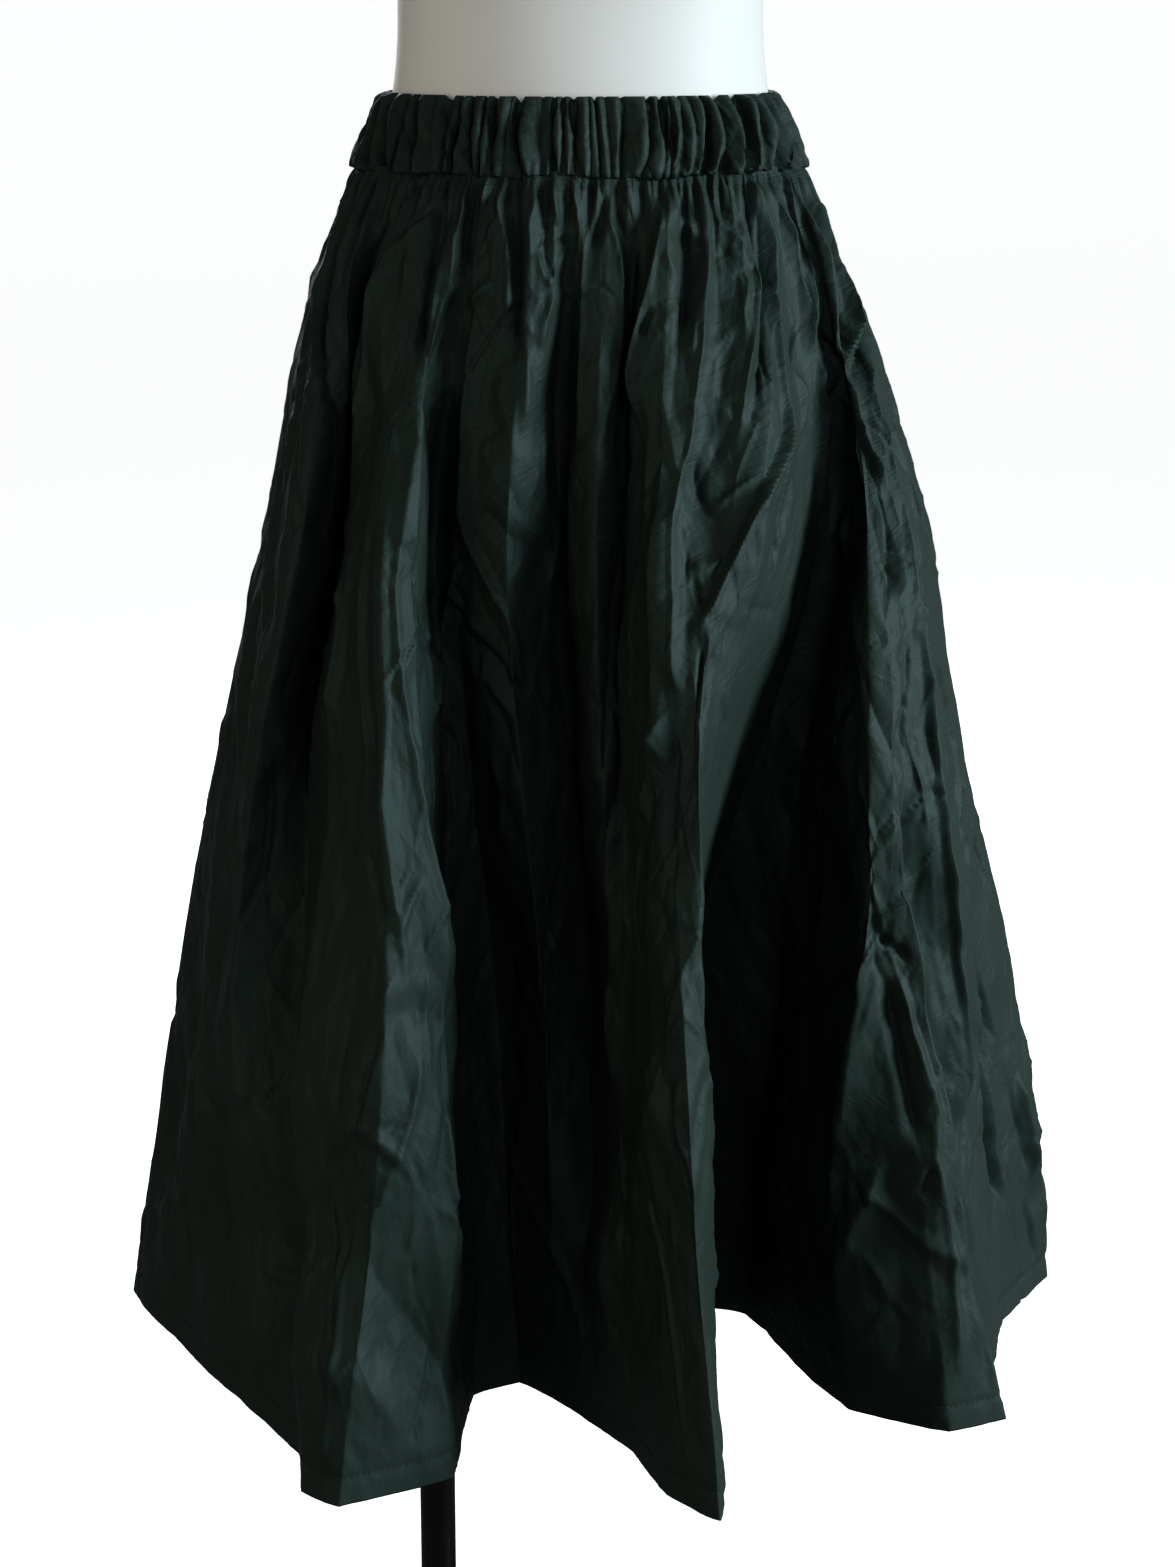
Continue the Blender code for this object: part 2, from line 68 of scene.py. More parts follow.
# One row for each fold line. round: 0 is a pressed edge, 1 a soft one. seam: degrees
# round the waist seam. hip, knee and hem: where the line passes those drops, in plan.
# From front_right_face to right_turn they lie closer to the real folds than the solids'.
FoldLine = namedtuple("FoldLine", "name round seam hip_x hip_y knee_x knee_y hem_x hem_y")
FOLD_LINES = (
    FoldLine("left_side", 0.8, 0, -0.207, 0.010, -0.263, 0.005, -0.3150, 0.000),
    FoldLine("left_panel", 0.7, 14, -0.199, -0.055, -0.246, -0.055, -0.2555, -0.116),
    FoldLine("left_crest", 0.5, 27, -0.174, -0.104, -0.221, -0.110, -0.2055, -0.200),
    FoldLine("left_trough", 0.4, 40, -0.149, -0.066, -0.178, -0.112, -0.175, -0.250),
    FoldLine("front_left_edge", 0.4, 47.5, -0.143, -0.125, -0.168, -0.190, -0.170, -0.300),
    FoldLine("front_left_crest", 0.4, 55, -0.123, -0.170, -0.115, -0.252, -0.145, -0.320),
    FoldLine("front_left_lip", 0.5, 61, -0.102, -0.168, -0.083, -0.228, -0.077, -0.283),
    FoldLine("front_left_turn", 0.5, 67, -0.088, -0.124, -0.078, -0.155, -0.069, -0.169),
    FoldLine("centre_left_trough", 0.5, 72, -0.074, -0.136, -0.058, -0.126, -0.040, -0.150),
    FoldLine("centre_crest", 0.5, 79, -0.044, -0.163, -0.026, -0.168, -0.014, -0.179),
    FoldLine("centre_trough", 0.4, 88, -0.008, -0.120, 0.002, -0.132, 0.012, -0.217),
    FoldLine("centre_ridge", 0.5, 94.5, 0.010, -0.156, 0.016, -0.178, 0.022, -0.233),
    FoldLine("front_right_rise", 0.5, 101, 0.026, -0.138, 0.026, -0.188, 0.033, -0.249),
    FoldLine("front_right_face", 0.5, 110, 0.044, -0.189, 0.041, -0.243, 0.054, -0.304),
    FoldLine("front_right_crest", 0.25, 120, 0.058, -0.192, 0.061, -0.270, 0.083, -0.336),
    FoldLine("front_right_tuck", 0.4, 126, 0.080, -0.191, 0.072, -0.262, 0.088, -0.290),
    FoldLine("front_right_turn", 0.4, 135, 0.106, -0.182, 0.070, -0.160, 0.088, -0.170),
    FoldLine("right_trough", 0.6, 145, 0.151, -0.089, 0.084, -0.068, 0.088, -0.035),
    FoldLine("right_floor", 0.6, 150, 0.160, -0.086, 0.128, -0.088, 0.112, -0.045),
    FoldLine("right_rise", 0.6, 156, 0.1775, -0.127, 0.171, -0.193, 0.172, -0.190),
    FoldLine("right_face", 0.4, 159.5, 0.184, -0.125, 0.197, -0.190, 0.233, -0.220),
    FoldLine("right_crest", 0.1, 163, 0.192, -0.122, 0.213, -0.185, 0.271, -0.203),
    FoldLine("right_tuck", 0.3, 165.5, 0.194, -0.112, 0.211, -0.158, 0.262, -0.168),
    FoldLine("right_lip", 0.2, 169, 0.2075, -0.106, 0.241, -0.145, 0.277, -0.112),
    FoldLine("right_turn", 0.4, 174.5, 0.215, -0.030, 0.256, -0.050, 0.289, -0.054),
    FoldLine("right_side", 0.6, 180, 0.226, 0.006, 0.2780, 0.010, 0.3300, 0.020),
    FoldLine("back_right_edge", 0.5, 190, 0.213, 0.047, 0.260, 0.072, 0.315, 0.088),
    FoldLine("back_right_trough", 0.5, 199, 0.180, 0.075, 0.194, 0.101, 0.228, 0.108),
    FoldLine("back_right_crest", 0.4, 210, 0.181, 0.122, 0.216, 0.175, 0.262, 0.195),
    FoldLine("back_right_lip", 0.5, 221, 0.143, 0.157, 0.162, 0.225, 0.205, 0.268),
    FoldLine("back_trough_a", 0.5, 234, 0.100, 0.125, 0.104, 0.143, 0.125, 0.165),
    FoldLine("back_crest_a", 0.4, 247, 0.075, 0.176, 0.093, 0.232, 0.118, 0.290),
    FoldLine("back_lip_a", 0.5, 260, 0.030, 0.190, 0.035, 0.260, 0.052, 0.332),
    FoldLine("back_trough_b", 0.5, 270, 0.000, 0.132, 0.004, 0.150, 0.014, 0.196),
    FoldLine("back_crest_b", 0.4, 281, -0.034, 0.178, -0.036, 0.236, -0.022, 0.296),
    FoldLine("back_lip_b", 0.5, 295, -0.085, 0.172, -0.092, 0.240, -0.105, 0.318),
    FoldLine("back_left_trough", 0.5, 310, -0.112, 0.123, -0.118, 0.146, -0.134, 0.172),
    FoldLine("back_left_crest", 0.4, 323, -0.158, 0.135, -0.176, 0.196, -0.202, 0.246),
    FoldLine("back_left_lip", 0.5, 335, -0.188, 0.094, -0.226, 0.140, -0.270, 0.176),
    FoldLine("back_left_turn", 0.5, 347, -0.186, 0.052, -0.216, 0.070, -0.246, 0.080),
)

# Where a fold line leaves its smooth run, between the hip and the knee or below the knee,
# and how far, in plan.
Bend = namedtuple("Bend", "name drop move_x move_y")
THIGH_DROP, SHIN_DROP = 400 * MM, 650 * MM
BENDS = (
    Bend("front_right_tuck", THIGH_DROP, -0.002, -0.011),
    Bend("right_crest", THIGH_DROP, -0.009, 0.000),
    Bend("right_side", THIGH_DROP, -0.005, 0.000),
    Bend("right_tuck", THIGH_DROP, -0.006, -0.004),
    Bend("right_lip", THIGH_DROP, -0.005, 0.000),
    Bend("right_lip", SHIN_DROP, -0.003, 0.000),
    Bend("right_rise", SHIN_DROP, -0.018, 0.002),
)

# Gathers under the waist seam, one crest and one trough each, and the fine pinches of
# the stitching between them. depth, shortest and longest (how far down one runs) in mm.
# wander: how far one leans, as a share of the seam. Uneven: how fast sizes change from
# one to the next, and how much.
Uneven = namedtuple("Uneven", "pace strength")
Gathers = namedtuple("Gathers", "count depth shortest longest widths lengths depths wander")
SEAM_GATHERS = Gathers(72, 2.8, 35, 150, Uneven(2.4, 0.55), Uneven(1.7, 0.95), Uneven(3.9, 0.5), 0.007)
LONG_GATHERS = Gathers(42, 1.8, 80, 280, Uneven(2.9, 0.55), Uneven(1.3, 0.9), Uneven(2.2, 0.6), 0.012)
SEAM_PINCHES = Gathers(150, 1.6, 10, 42, Uneven(1.9, 0.6), Uneven(2.9, 0.9), Uneven(1.3, 0.6), 0.002)
SHORT_GATHERS = 1.6  # power: above 1 most gathers are short
GATHER_FADE = 1.2  # power: above 1 a gather fades fast at first
HELD_AT_SEAM = 0.3  # how much of its depth a gather has at the stitches
FREE_BELOW = 10 * MM  # where it has all of it
SEAM_SINK = 1.8 * MM  # how far the gathers are set in at the seam
SINK_LENGTH = 70 * MM  # how far down that ends
GATHERS_AT_SIDE = 0.35  # how much of their depth the gathers have at the side seams
SIDE_DEGREES = 16  # how far from a side seam that ends
ROUND_AT_SEAM = 0.15  # added to a gather's power at the seam: above 0 its crest is rounder
ROOM_FOR_A_GATHER = 0.6  # of the mean gap: where lines lie closer, they run together
CALM_COLUMNS = 9  # columns to each side over which the cloth's normals are evened out
SEAM_TUCK = 0.6 * MM  # how deep the cloth turns in at the seam

# Creases. path: (degrees, drop in mm) points down the cloth. reach: half width in mm.
# rise: height in mm, below 0 for a trough. lean: from -1 to 1, the side that is wider.
# fade: the share of its length over which it starts and ends.
Crease = namedtuple("Crease", "rise reach lean fade path")
CREASES = tuple(Crease(*row[:4], path=row[4:]) for row in (
    # under the waist seam, from the viewer's left to right
    (-3.5, 5, 0, 0.3, (14, 52), (12, 70), (10, 88), (8, 105)),
    (-6, 7, 0.2, 0.25, (25, 48), (24, 64), (22.5, 82), (21.5, 95), (21, 115), (22, 133), (24.5, 147),
     (27, 165), (30, 182), (34, 200)),
    (3.2, 5, -0.3, 0.25, (17, 105), (18.6, 124), (21, 140), (24.2, 158), (27.5, 178)),
    (2.8, 5, 0, 0.3, (29.5, 50), (28, 70), (26, 92), (26, 112)),
    (3.8, 6, -0.3, 0.3, (36.6, 50), (35, 65), (33.6, 80), (33, 95), (33.4, 115), (34, 140), (35, 170)),
    (-7.5, 8, 0.2, 0.2, (46, 66), (42, 76), (38.5, 88), (36.5, 97), (36.5, 107), (37.3, 120), (38, 135),
     (38.4, 150), (38.5, 185), (39, 240), (38, 320)),
    (3, 12, 0.4, 0.35, (44, 60), (43.5, 100), (44, 140), (44, 190), (45, 240)),
    (-2.4, 4, 0, 0.3, (56, 58), (54.5, 66), (49.5, 77), (45, 88)),
    (-2.2, 4, 0, 0.3, (51.5, 50), (47, 58), (42.5, 68)),
    (2.4, 8, 0, 0.3, (57, 62), (51, 80), (46, 96), (44, 120)),
    (-4.5, 8, -0.2, 0.3, (58.5, 56), (58, 70), (57.2, 100), (57, 120), (57.2, 145), (57, 165)),
    (3.4, 8, 0, 0.3, (60.5, 88), (59.3, 112), (58.8, 135), (58.5, 160)),
    (4, 14, 0.4, 0.2, (61.5, 50), (63, 68), (61.6, 84), (62, 96), (62.2, 110), (66.5, 122)),
    (3, 10, -0.3, 0.3, (66.5, 123), (70, 116), (73.5, 107)),
    (2.6, 7, 0.2, 0.3, (62.5, 108), (61.5, 125), (60.5, 145), (59.5, 160)),
    (4.5, 14, 0.5, 0.2, (69, 118), (69.5, 140), (69.5, 155), (70.5, 180), (71, 210), (73, 260)),
    (4, 10, -0.4, 0.2, (69.5, 46), (71.5, 62), (74.3, 82), (76, 100), (76.6, 120), (77, 138)),
    (-5.5, 7, 0, 0.25, (75.5, 60), (77, 84), (77.8, 110), (78.2, 135), (79.2, 158)),
    (5.5, 13, 0.4, 0.15, (79.4, 46), (80.2, 62), (79.2, 74), (79.6, 90), (79.4, 110), (79.4, 130),
     (80.2, 156), (80.4, 200)),
    (3, 9, -0.5, 0.3, (80.4, 90), (82.2, 104), (84.6, 113)),
    (3, 9, -0.5, 0.3, (84.6, 112), (83, 130), (81.8, 150)),
    (-8, 16, 0, 0.3, (86, 78), (86.8, 110), (86.8, 150), (86.8, 200), (87.3, 270), (87, 350), (87, 430)),
    (2.6, 5, 0.2, 0.3, (83.3, 50), (84.2, 62), (85.5, 77)),
    (3.4, 8, -0.3, 0.3, (87.5, 46), (89.6, 66), (90.2, 82), (89.4, 97)),
    (-1.6, 2.6, 0, 0.3, (80.5, 75.5), (83.5, 77), (86.5, 77)),
    (-1.6, 2.6, 0, 0.3, (81.5, 80), (85.5, 83), (89.5, 84)),
    (4, 9, 0.2, 0.3, (94, 47), (93, 68), (91.2, 90), (91, 120), (91.2, 170), (91, 220)),
    (-4.5, 5, 0, 0.3, (96.4, 50), (95, 72), (92.6, 92)),
    (4.5, 10, -0.5, 0.25, (97.5, 52), (96.8, 72), (98.2, 84), (99.4, 105), (99.3, 130), (98.5, 160)),
    (-5.5, 9, 0, 0.25, (103.4, 58), (103, 80), (102, 105), (101.2, 130), (100.6, 160), (100.3, 200),
     (101, 260)),
    (7.5, 15, 0.7, 0.2, (111, 54), (109.5, 65), (108.5, 80), (107, 102), (105.5, 120), (103.8, 146),
     (103.4, 162), (106, 198)),
    (-3, 4, 0, 0.3, (107, 122), (105.4, 142)),
    (3.4, 10, -0.4, 0.3, (111.5, 52), (110, 80), (109.8, 95), (113, 115)),
    (3, 8, 0, 0.3, (112.3, 50), (113.3, 68), (116.5, 77), (118.5, 84)),
    (-4, 9, 0, 0.3, (115.5, 48), (115, 80), (114.5, 110), (113.5, 150)),
    (6, 13, 0, 0.12, (121, 46), (121, 60), (120.8, 82), (120, 106), (118.8, 118), (118.8, 142),
     (118.8, 160), (119.5, 200)),
    (3.5, 9, 0.3, 0.3, (118.6, 112), (116.4, 135), (115.6, 158)),
    (4.5, 10, -0.4, 0.15, (122, 62), (124.5, 74), (129, 86), (131, 97), (133.4, 102), (133, 114),
     (131, 138), (129.6, 156), (129.2, 176), (128.8, 200)),
    (2.5, 6, 0, 0.3, (130.6, 102), (127.6, 128), (128.4, 146)),
    (3, 6, -0.4, 0.3, (131.5, 72), (133.2, 100)),
    (-5.5, 9, 0, 0.25, (134.6, 56), (136.8, 78), (136.8, 108), (135, 138), (132.6, 160), (131.6, 190)),
    (4.5, 13, 0.5, 0.15, (135.4, 48), (138.5, 64), (139.2, 88), (138, 122), (137.8, 158), (138, 200)),
    (4.5, 9, -0.2, 0.2, (141, 50), (143.5, 68), (146, 86), (148.5, 108), (148.5, 125), (146, 142),
     (144.6, 160)),
    (2.4, 6, 0, 0.3, (141, 162), (143, 178), (141.5, 205)),
    (2.4, 6, 0.2, 0.3, (149.5, 160), (147.5, 176), (148.5, 196)),
    # the front's crests and valleys below
    (-4, 10, 0, 0.35, (66.2, 150), (66.8, 200), (67, 260), (65.5, 320), (64.5, 370)),
    (-5, 13, 0, 0.4, (101.5, 180), (101, 250), (98, 320), (95, 400), (93, 480)),
    (5, 15, -0.2, 0.2, (59.5, 165), (60.3, 200), (59.4, 250), (58.3, 290), (58.5, 340), (60, 400),
     (61, 460), (62, 540)),
    (4.5, 11, 0.4, 0.2, (56.6, 215), (56.4, 260), (56.2, 310), (56.2, 360), (55.4, 410), (56, 470),
     (57, 530)),
    (3, 7, -0.3, 0.3, (52, 230), (52.8, 290), (52.5, 330), (53.6, 380), (51, 440)),
    (2.6, 6, 0.3, 0.3, (48.5, 250), (49, 320), (48, 400)),
    (3, 9, 0, 0.25, (58.5, 545), (57.4, 590), (55.6, 640), (53.4, 675)),
    (4, 18, 0.3, 0.2, (53.4, 650), (52.6, 690), (53.2, 740), (52.7, 785), (51, 820)),
    (2.6, 6, 0, 0.3, (55.6, 492), (54.8, 540), (54, 600), (53.6, 640)),
    (-2.4, 6, 0, 0.3, (53.4, 436), (54.4, 462), (56, 486)),
    (2.6, 7, 0.3, 0.3, (56, 488), (57.4, 470), (59.4, 452)),
    (-1.6, 3, 0, 0.3, (53.6, 602), (55.6, 597), (57.8, 592)),
    (-1.4, 3, 0, 0.3, (53.8, 644), (55.8, 638)),
    (4, 13, -0.4, 0.12, (120, 180), (119.6, 205), (117.4, 226), (116.6, 240), (117.4, 262), (119.2, 292),
     (119.4, 345)),
    (3.6, 9, -0.3, 0.2, (119.2, 348), (114.5, 356), (110.8, 376), (108.6, 398), (107.4, 425)),
    (-3, 6, 0, 0.3, (117.8, 356), (117, 400), (116.5, 440)),
    (3, 10, 0, 0.25, (105, 380), (103, 420), (103.5, 470), (106, 520)),
    (8, 20, 0.75, 0.2, (138.6, 172), (137.8, 196), (136.4, 214), (135, 230), (133.5, 242), (129.8, 268),
     (126.1, 292), (122, 318)),
    (-3.5, 5, 0, 0.25, (125.5, 308), (125, 335), (124.8, 356), (124.4, 372)),
    (-3, 9, 0, 0.3, (121, 200), (121.8, 222), (124, 236), (127, 246), (131, 248)),
    (1.4, 4, 0, 0.3, (124, 246), (128, 230), (132, 222), (135, 216)),
    (-2.5, 4, 0, 0.3, (122.4, 276), (124.4, 287), (126, 291)),
    (2, 6, 0, 0.3, (121.5, 268), (125, 270), (129.5, 262)),
    (-1.8, 5, 0, 0.3, (137, 250), (137.6, 262), (138.2, 274)),
    (-1.8, 5, 0, 0.3, (131.8, 350), (133.4, 362), (135, 374)),
    (-1.2, 4, 0, 0.3, (131.5, 292), (136, 300), (140, 308)),
    (3.2, 12, 0.3, 0.25, (118.2, 560), (117.2, 588), (118.6, 612), (120.4, 640)),
    (-2.4, 5, 0, 0.3, (117.6, 604), (118.6, 622), (119.8, 642)),
    # the right side, from the pinch where its folds meet
    (-6, 22, 0, 0.45, (167, 66), (168, 90), (168.5, 115), (168.5, 150)),
    (-4.5, 42, 0, 0.5, (179, 72), (179.5, 103), (179.5, 140)),
    (-4, 4, 0, 0.3, (143.3, 138), (142, 150), (140.5, 163)),
    (-5.5, 6, 0, 0.3, (147.2, 52), (147.8, 72), (148.2, 95), (148, 115)),
    (-3.5, 4, 0, 0.2, (146.7, 137), (149.2, 147), (152.2, 155), (154.4, 164)),
    (3.5, 6, 0.3, 0.2, (154.5, 60), (155.7, 82), (156.6, 95), (156.3, 114), (156.6, 130), (156, 142),
     (154.2, 156), (154.6, 166)),
    (-11, 10, 0, 0.25, (159.5, 55), (160.8, 85), (161.8, 110), (161.8, 130), (160, 146), (157, 160)),
    (6.5, 6, 0, 0.12, (163.5, 60), (164.5, 80), (166.3, 95), (167.4, 108), (167.6, 121), (167, 133),
     (165.7, 143), (162.7, 150), (158.5, 158), (155.3, 167)),
    (-8, 10, 0, 0.25, (170, 90), (171, 125), (170, 145), (167, 158), (164, 172), (163, 190), (163.6, 210),
     (165.5, 230)),
    (6, 9, 0.3, 0.1, (155.2, 167), (157.4, 174), (158.8, 189), (159.5, 202), (161.6, 216), (163.8, 231),
     (165.4, 244), (164.6, 260), (163.4, 280), (163, 305)),
    (4.5, 11, -0.2, 0.2, (169.5, 160), (167.6, 180), (167.8, 195), (169.5, 212), (170.3, 230), (170, 250),
     (169.6, 275), (169.2, 305)),
    (-5, 5, 0, 0.2, (172, 196), (174, 215), (174.5, 240), (176, 258), (177, 272), (178, 288)),
    (2.5, 4, 0, 0.3, (154.4, 173), (152.7, 195), (151.4, 224), (151.2, 255), (151.4, 300)),
    (-8, 14, 0, 0.3, (153, 180), (151.5, 200), (150.8, 230), (150.5, 270)),
    (4, 8, 0.3, 0.2, (154.3, 167), (153.3, 174), (149.8, 190), (146.8, 203), (145.5, 226), (145.2, 260)),
    (1.6, 5, 0, 0.25, (155, 400), (155.2, 415), (156, 432), (157.6, 450)),
    (1.6, 6, 0, 0.3, (156.7, 465), (157.6, 480), (158.4, 490), (158.3, 504)),
    (-4, 4, 0, 0.25, (158, 500), (159, 509), (160.3, 512), (161.6, 520)),
    (3.5, 7, 0, 0.3, (158.3, 500), (157.2, 510), (156.2, 520), (155.6, 545)),
    (4.5, 10, -0.4, 0.15, (158.6, 506), (159.3, 521), (160.3, 552), (161.3, 590), (161.6, 613),
     (160.8, 640), (161.4, 688), (161, 742), (160.4, 795)),
    (-6, 9, 0, 0.2, (158.6, 526), (159, 553), (159.3, 580), (159.6, 618), (159.8, 642)),
    (2.5, 18, 0, 0.3, (156.6, 512), (156.2, 562), (156.4, 604), (156.2, 655)),
    (3.5, 7, 0, 0.3, (158.4, 637), (157.6, 668), (156.9, 690), (156.2, 722)),
    (-4, 9, 0, 0.3, (156.8, 655), (155.8, 700), (155.2, 740)),
    (-4, 5, 0, 0.3, (160.9, 645), (160.2, 656), (159.7, 670)),
    (-5, 3.5, 0.3, 0.2, (164.2, 430), (164.4, 480), (164.7, 540), (165, 600), (165.2, 680), (165.4, 760)),
    (-2, 9, 0, 0.3, (167, 318), (166.2, 345), (166, 372)),
    (-1.5, 9, 0, 0.35, (163, 414), (164.6, 432), (165.8, 450)),
    (-1.5, 8, 0, 0.35, (165.9, 452), (167.2, 434), (168.6, 412)),
    (-2.4, 3.5, 0, 0.3, (168.6, 376), (168.6, 396), (168.9, 420)),
    (2.5, 5, 0, 0.3, (167.6, 612), (166.4, 626), (165.6, 636)),
    (4, 7, 0.3, 0.2, (169, 300), (169, 360), (169, 420), (169, 480), (169, 540), (169.2, 600),
     (169.4, 660)),
    (-3, 4, 0, 0.3, (173.6, 528), (174, 546), (174.4, 562)),
    (-3.5, 3.5, 0, 0.2, (169.2, 286), (169.8, 308), (170, 326), (170, 346)),
    (-3.5, 4, 0, 0.2, (172.5, 325), (173.6, 348), (174, 370), (174.6, 392)),
    (3.5, 5, 0.2, 0.2, (171.4, 335), (172.6, 360), (174, 388), (174.4, 415), (173.6, 440), (173, 468),
     (173, 500)),
    (-3, 4, 0, 0.2, (175, 432), (175.2, 455), (175.6, 480), (176.2, 510)),
    (-6, 5, -0.5, 0.2, (169.8, 470), (170.2, 500), (170.6, 540), (171, 580), (171.4, 620)),
    (-3, 4, 0, 0.3, (177, 485), (177.6, 505), (178, 530)),
    (-3, 4, 0, 0.3, (175, 575), (175.4, 598), (176.3, 628)),
    (-9, 7, 0, 0.2, (174.8, 600), (174.8, 650), (175, 695), (175.7, 744)),
    (4, 6, 0.3, 0.25, (178.2, 655), (178.6, 700), (178.7, 742)),
    (-3, 4, 0, 0.3, (177.4, 658), (178, 700), (178.2, 736)),
    (8, 34, 0, 0.4, (178.5, 680), (179.5, 750), (179.5, 815)),
    (-2.5, 5, 0, 0.3, (178, 748), (178.6, 802)),
    # the crumpled fold left of the middle
    (3.6, 10, -0.3, 0.2, (70.8, 228), (73, 262), (76.8, 290), (79.8, 318), (81.4, 350)),
    (3.2, 8, 0.3, 0.25, (73, 266), (70.6, 292), (67.6, 322), (65.6, 346)),
    (-3.6, 5, 0, 0.25, (69.2, 296), (73, 316), (77, 338), (80.6, 362)),
    (2.6, 6, 0, 0.3, (68.8, 292), (72, 306), (75.8, 322)),
    (3.2, 8, 0.2, 0.3, (68.2, 330), (66, 350), (63.8, 372)),
    (2.4, 8, 0, 0.3, (74, 340), (76.4, 352), (79.2, 372)),
    (-2.4, 5, 0, 0.3, (66, 372), (68.6, 388), (70.8, 396)),
    (2.6, 8, 0, 0.3, (75.5, 385), (76.5, 420), (76, 460)),
))

CREST_RADIUS = 0.4 * MM  # how round the top of a crease is
PINCH_SHARE = 0.35  # the sharp line along a crease, as a share of its rise, and at most
PINCH_HEIGHT = 1.3 * MM
PINCH_REACH = 3.2 * MM
FLANK_HOLLOW = 1.2  # power: above 1 a crease's flanks are hollow

# Crumpled facets all over, of three sizes: flat faces with straight sharp creases between
# them. height: from the deepest corner to the highest.
# near_waist: how much of it shows right under the waist seam.
Facets = namedtuple("Facets", "width length height near_waist")
FACETS = (
    Facets(60 * MM, 190 * MM, 14.0 * MM, 0.35),
    Facets(28 * MM, 75 * MM, 7.0 * MM, 0.5),
    Facets(13 * MM, 30 * MM, 3.0 * MM, 0.5),
)
BAND_FACETS = (Facets(14 * MM, 26 * MM, 5.0 * MM, 1), Facets(7 * MM, 13 * MM, 2.0 * MM, 1))

# Thin sharp creases all over, straight between the corners where they meet. rise: of the
# strongest, up or down. reach: half width of one.
Network = namedtuple("Network", "width length rise reach near_waist")
NETWORKS = (
    Network(66 * MM, 190 * MM, 3.2 * MM, 5.0 * MM, 0.3),
    Network(34 * MM, 88 * MM, 1.9 * MM, 3.4 * MM, 0.9),
    Network(15 * MM, 42 * MM, 0.5 * MM, 2.2 * MM, 2.4),
)
BAND_NETWORK = Network(8 * MM, 20 * MM, 1.1 * MM, 1.8 * MM, 1)
FAINTEST_CREASE = 0.2  # as a share of the strongest
NETWORK_HOLLOW = 1.3  # power: above 1 the flanks of its creases are hollow
CREASE_MIX = 97.3  # turns two seats' keys into their border's own chance
LATTICE_SIZE = 24  # cells a side, after which the crumples come again
LATTICE_LEAN = 0.30  # radians, at most
LATTICE_BEND = 0.20  # of a facet's width
FULL_BELOW = 120 * MM  # how far below the waist seam the facets have all their height
SEAM_FLAT = 30 * MM  # how far from a side seam the large facets start to fade
HEM_STIFFNESS = 0.72  # how much of the facets' height the doubled hem takes away

# Patches where the facets are stronger, or fainter with a strength below 0. degrees and
# drop: the middle. spread: half width in degrees and half length in mm.
Crumple = namedtuple("Crumple", "degrees drop spread_across spread_down strength")
CRUMPLES = (
    Crumple(127, 270, 9, 90, 0.25),
    Crumple(137, 420, 8, 150, -0.7),
    Crumple(70, 110, 14, 70, 0.9),
    Crumple(75, 330, 9, 80, 0.5),
    Crumple(112, 600, 9, 160, -0.2),
    Crumple(160, 600, 14, 110, 0.2),
    Crumple(168, 380, 8, 120, 0.2),
    Crumple(56, 770, 9, 50, 0.3),
    Crumple(174, 640, 8, 110, 0.3),
    Crumple(177, 375, 5, 60, -0.8),
    Crumple(20, 740, 12, 70, 0.2),
    Crumple(90, 600, 10, 160, 0.3),
    Crumple(212, 420, 18, 120, 0.4),
    Crumple(254, 250, 14, 100, 0.5),
    Crumple(288, 560, 16, 120, 0.4),
    Crumple(325, 300, 14, 90, 0.5),
    Crumple(345, 700, 12, 80, 0.3),
)

PATCH_EDGE = 1.4  # where a patch ends, in spreads

# Where the front's creases come back on the back's folds: (front degrees, back degrees).
BACK_PLACES = (
    (0, 360), (40, 347), (55, 323), (72, 310), (79, 290), (88, 270),
    (101, 262), (120, 250), (135, 234), (161, 212), (180, 180),
)
BACK_LEAVES_OUT = 6  # one crease in so many isn't repeated there
BACK_STRAY = 14  # mm by which a crease's drop strays there, at most
BACK_STRETCH = 0.06  # share by which its drops stretch or shrink, at most
BACK_RISE, BACK_UNEVEN = 0.9, 0.25  # share of its rise it has there, and how far that strays

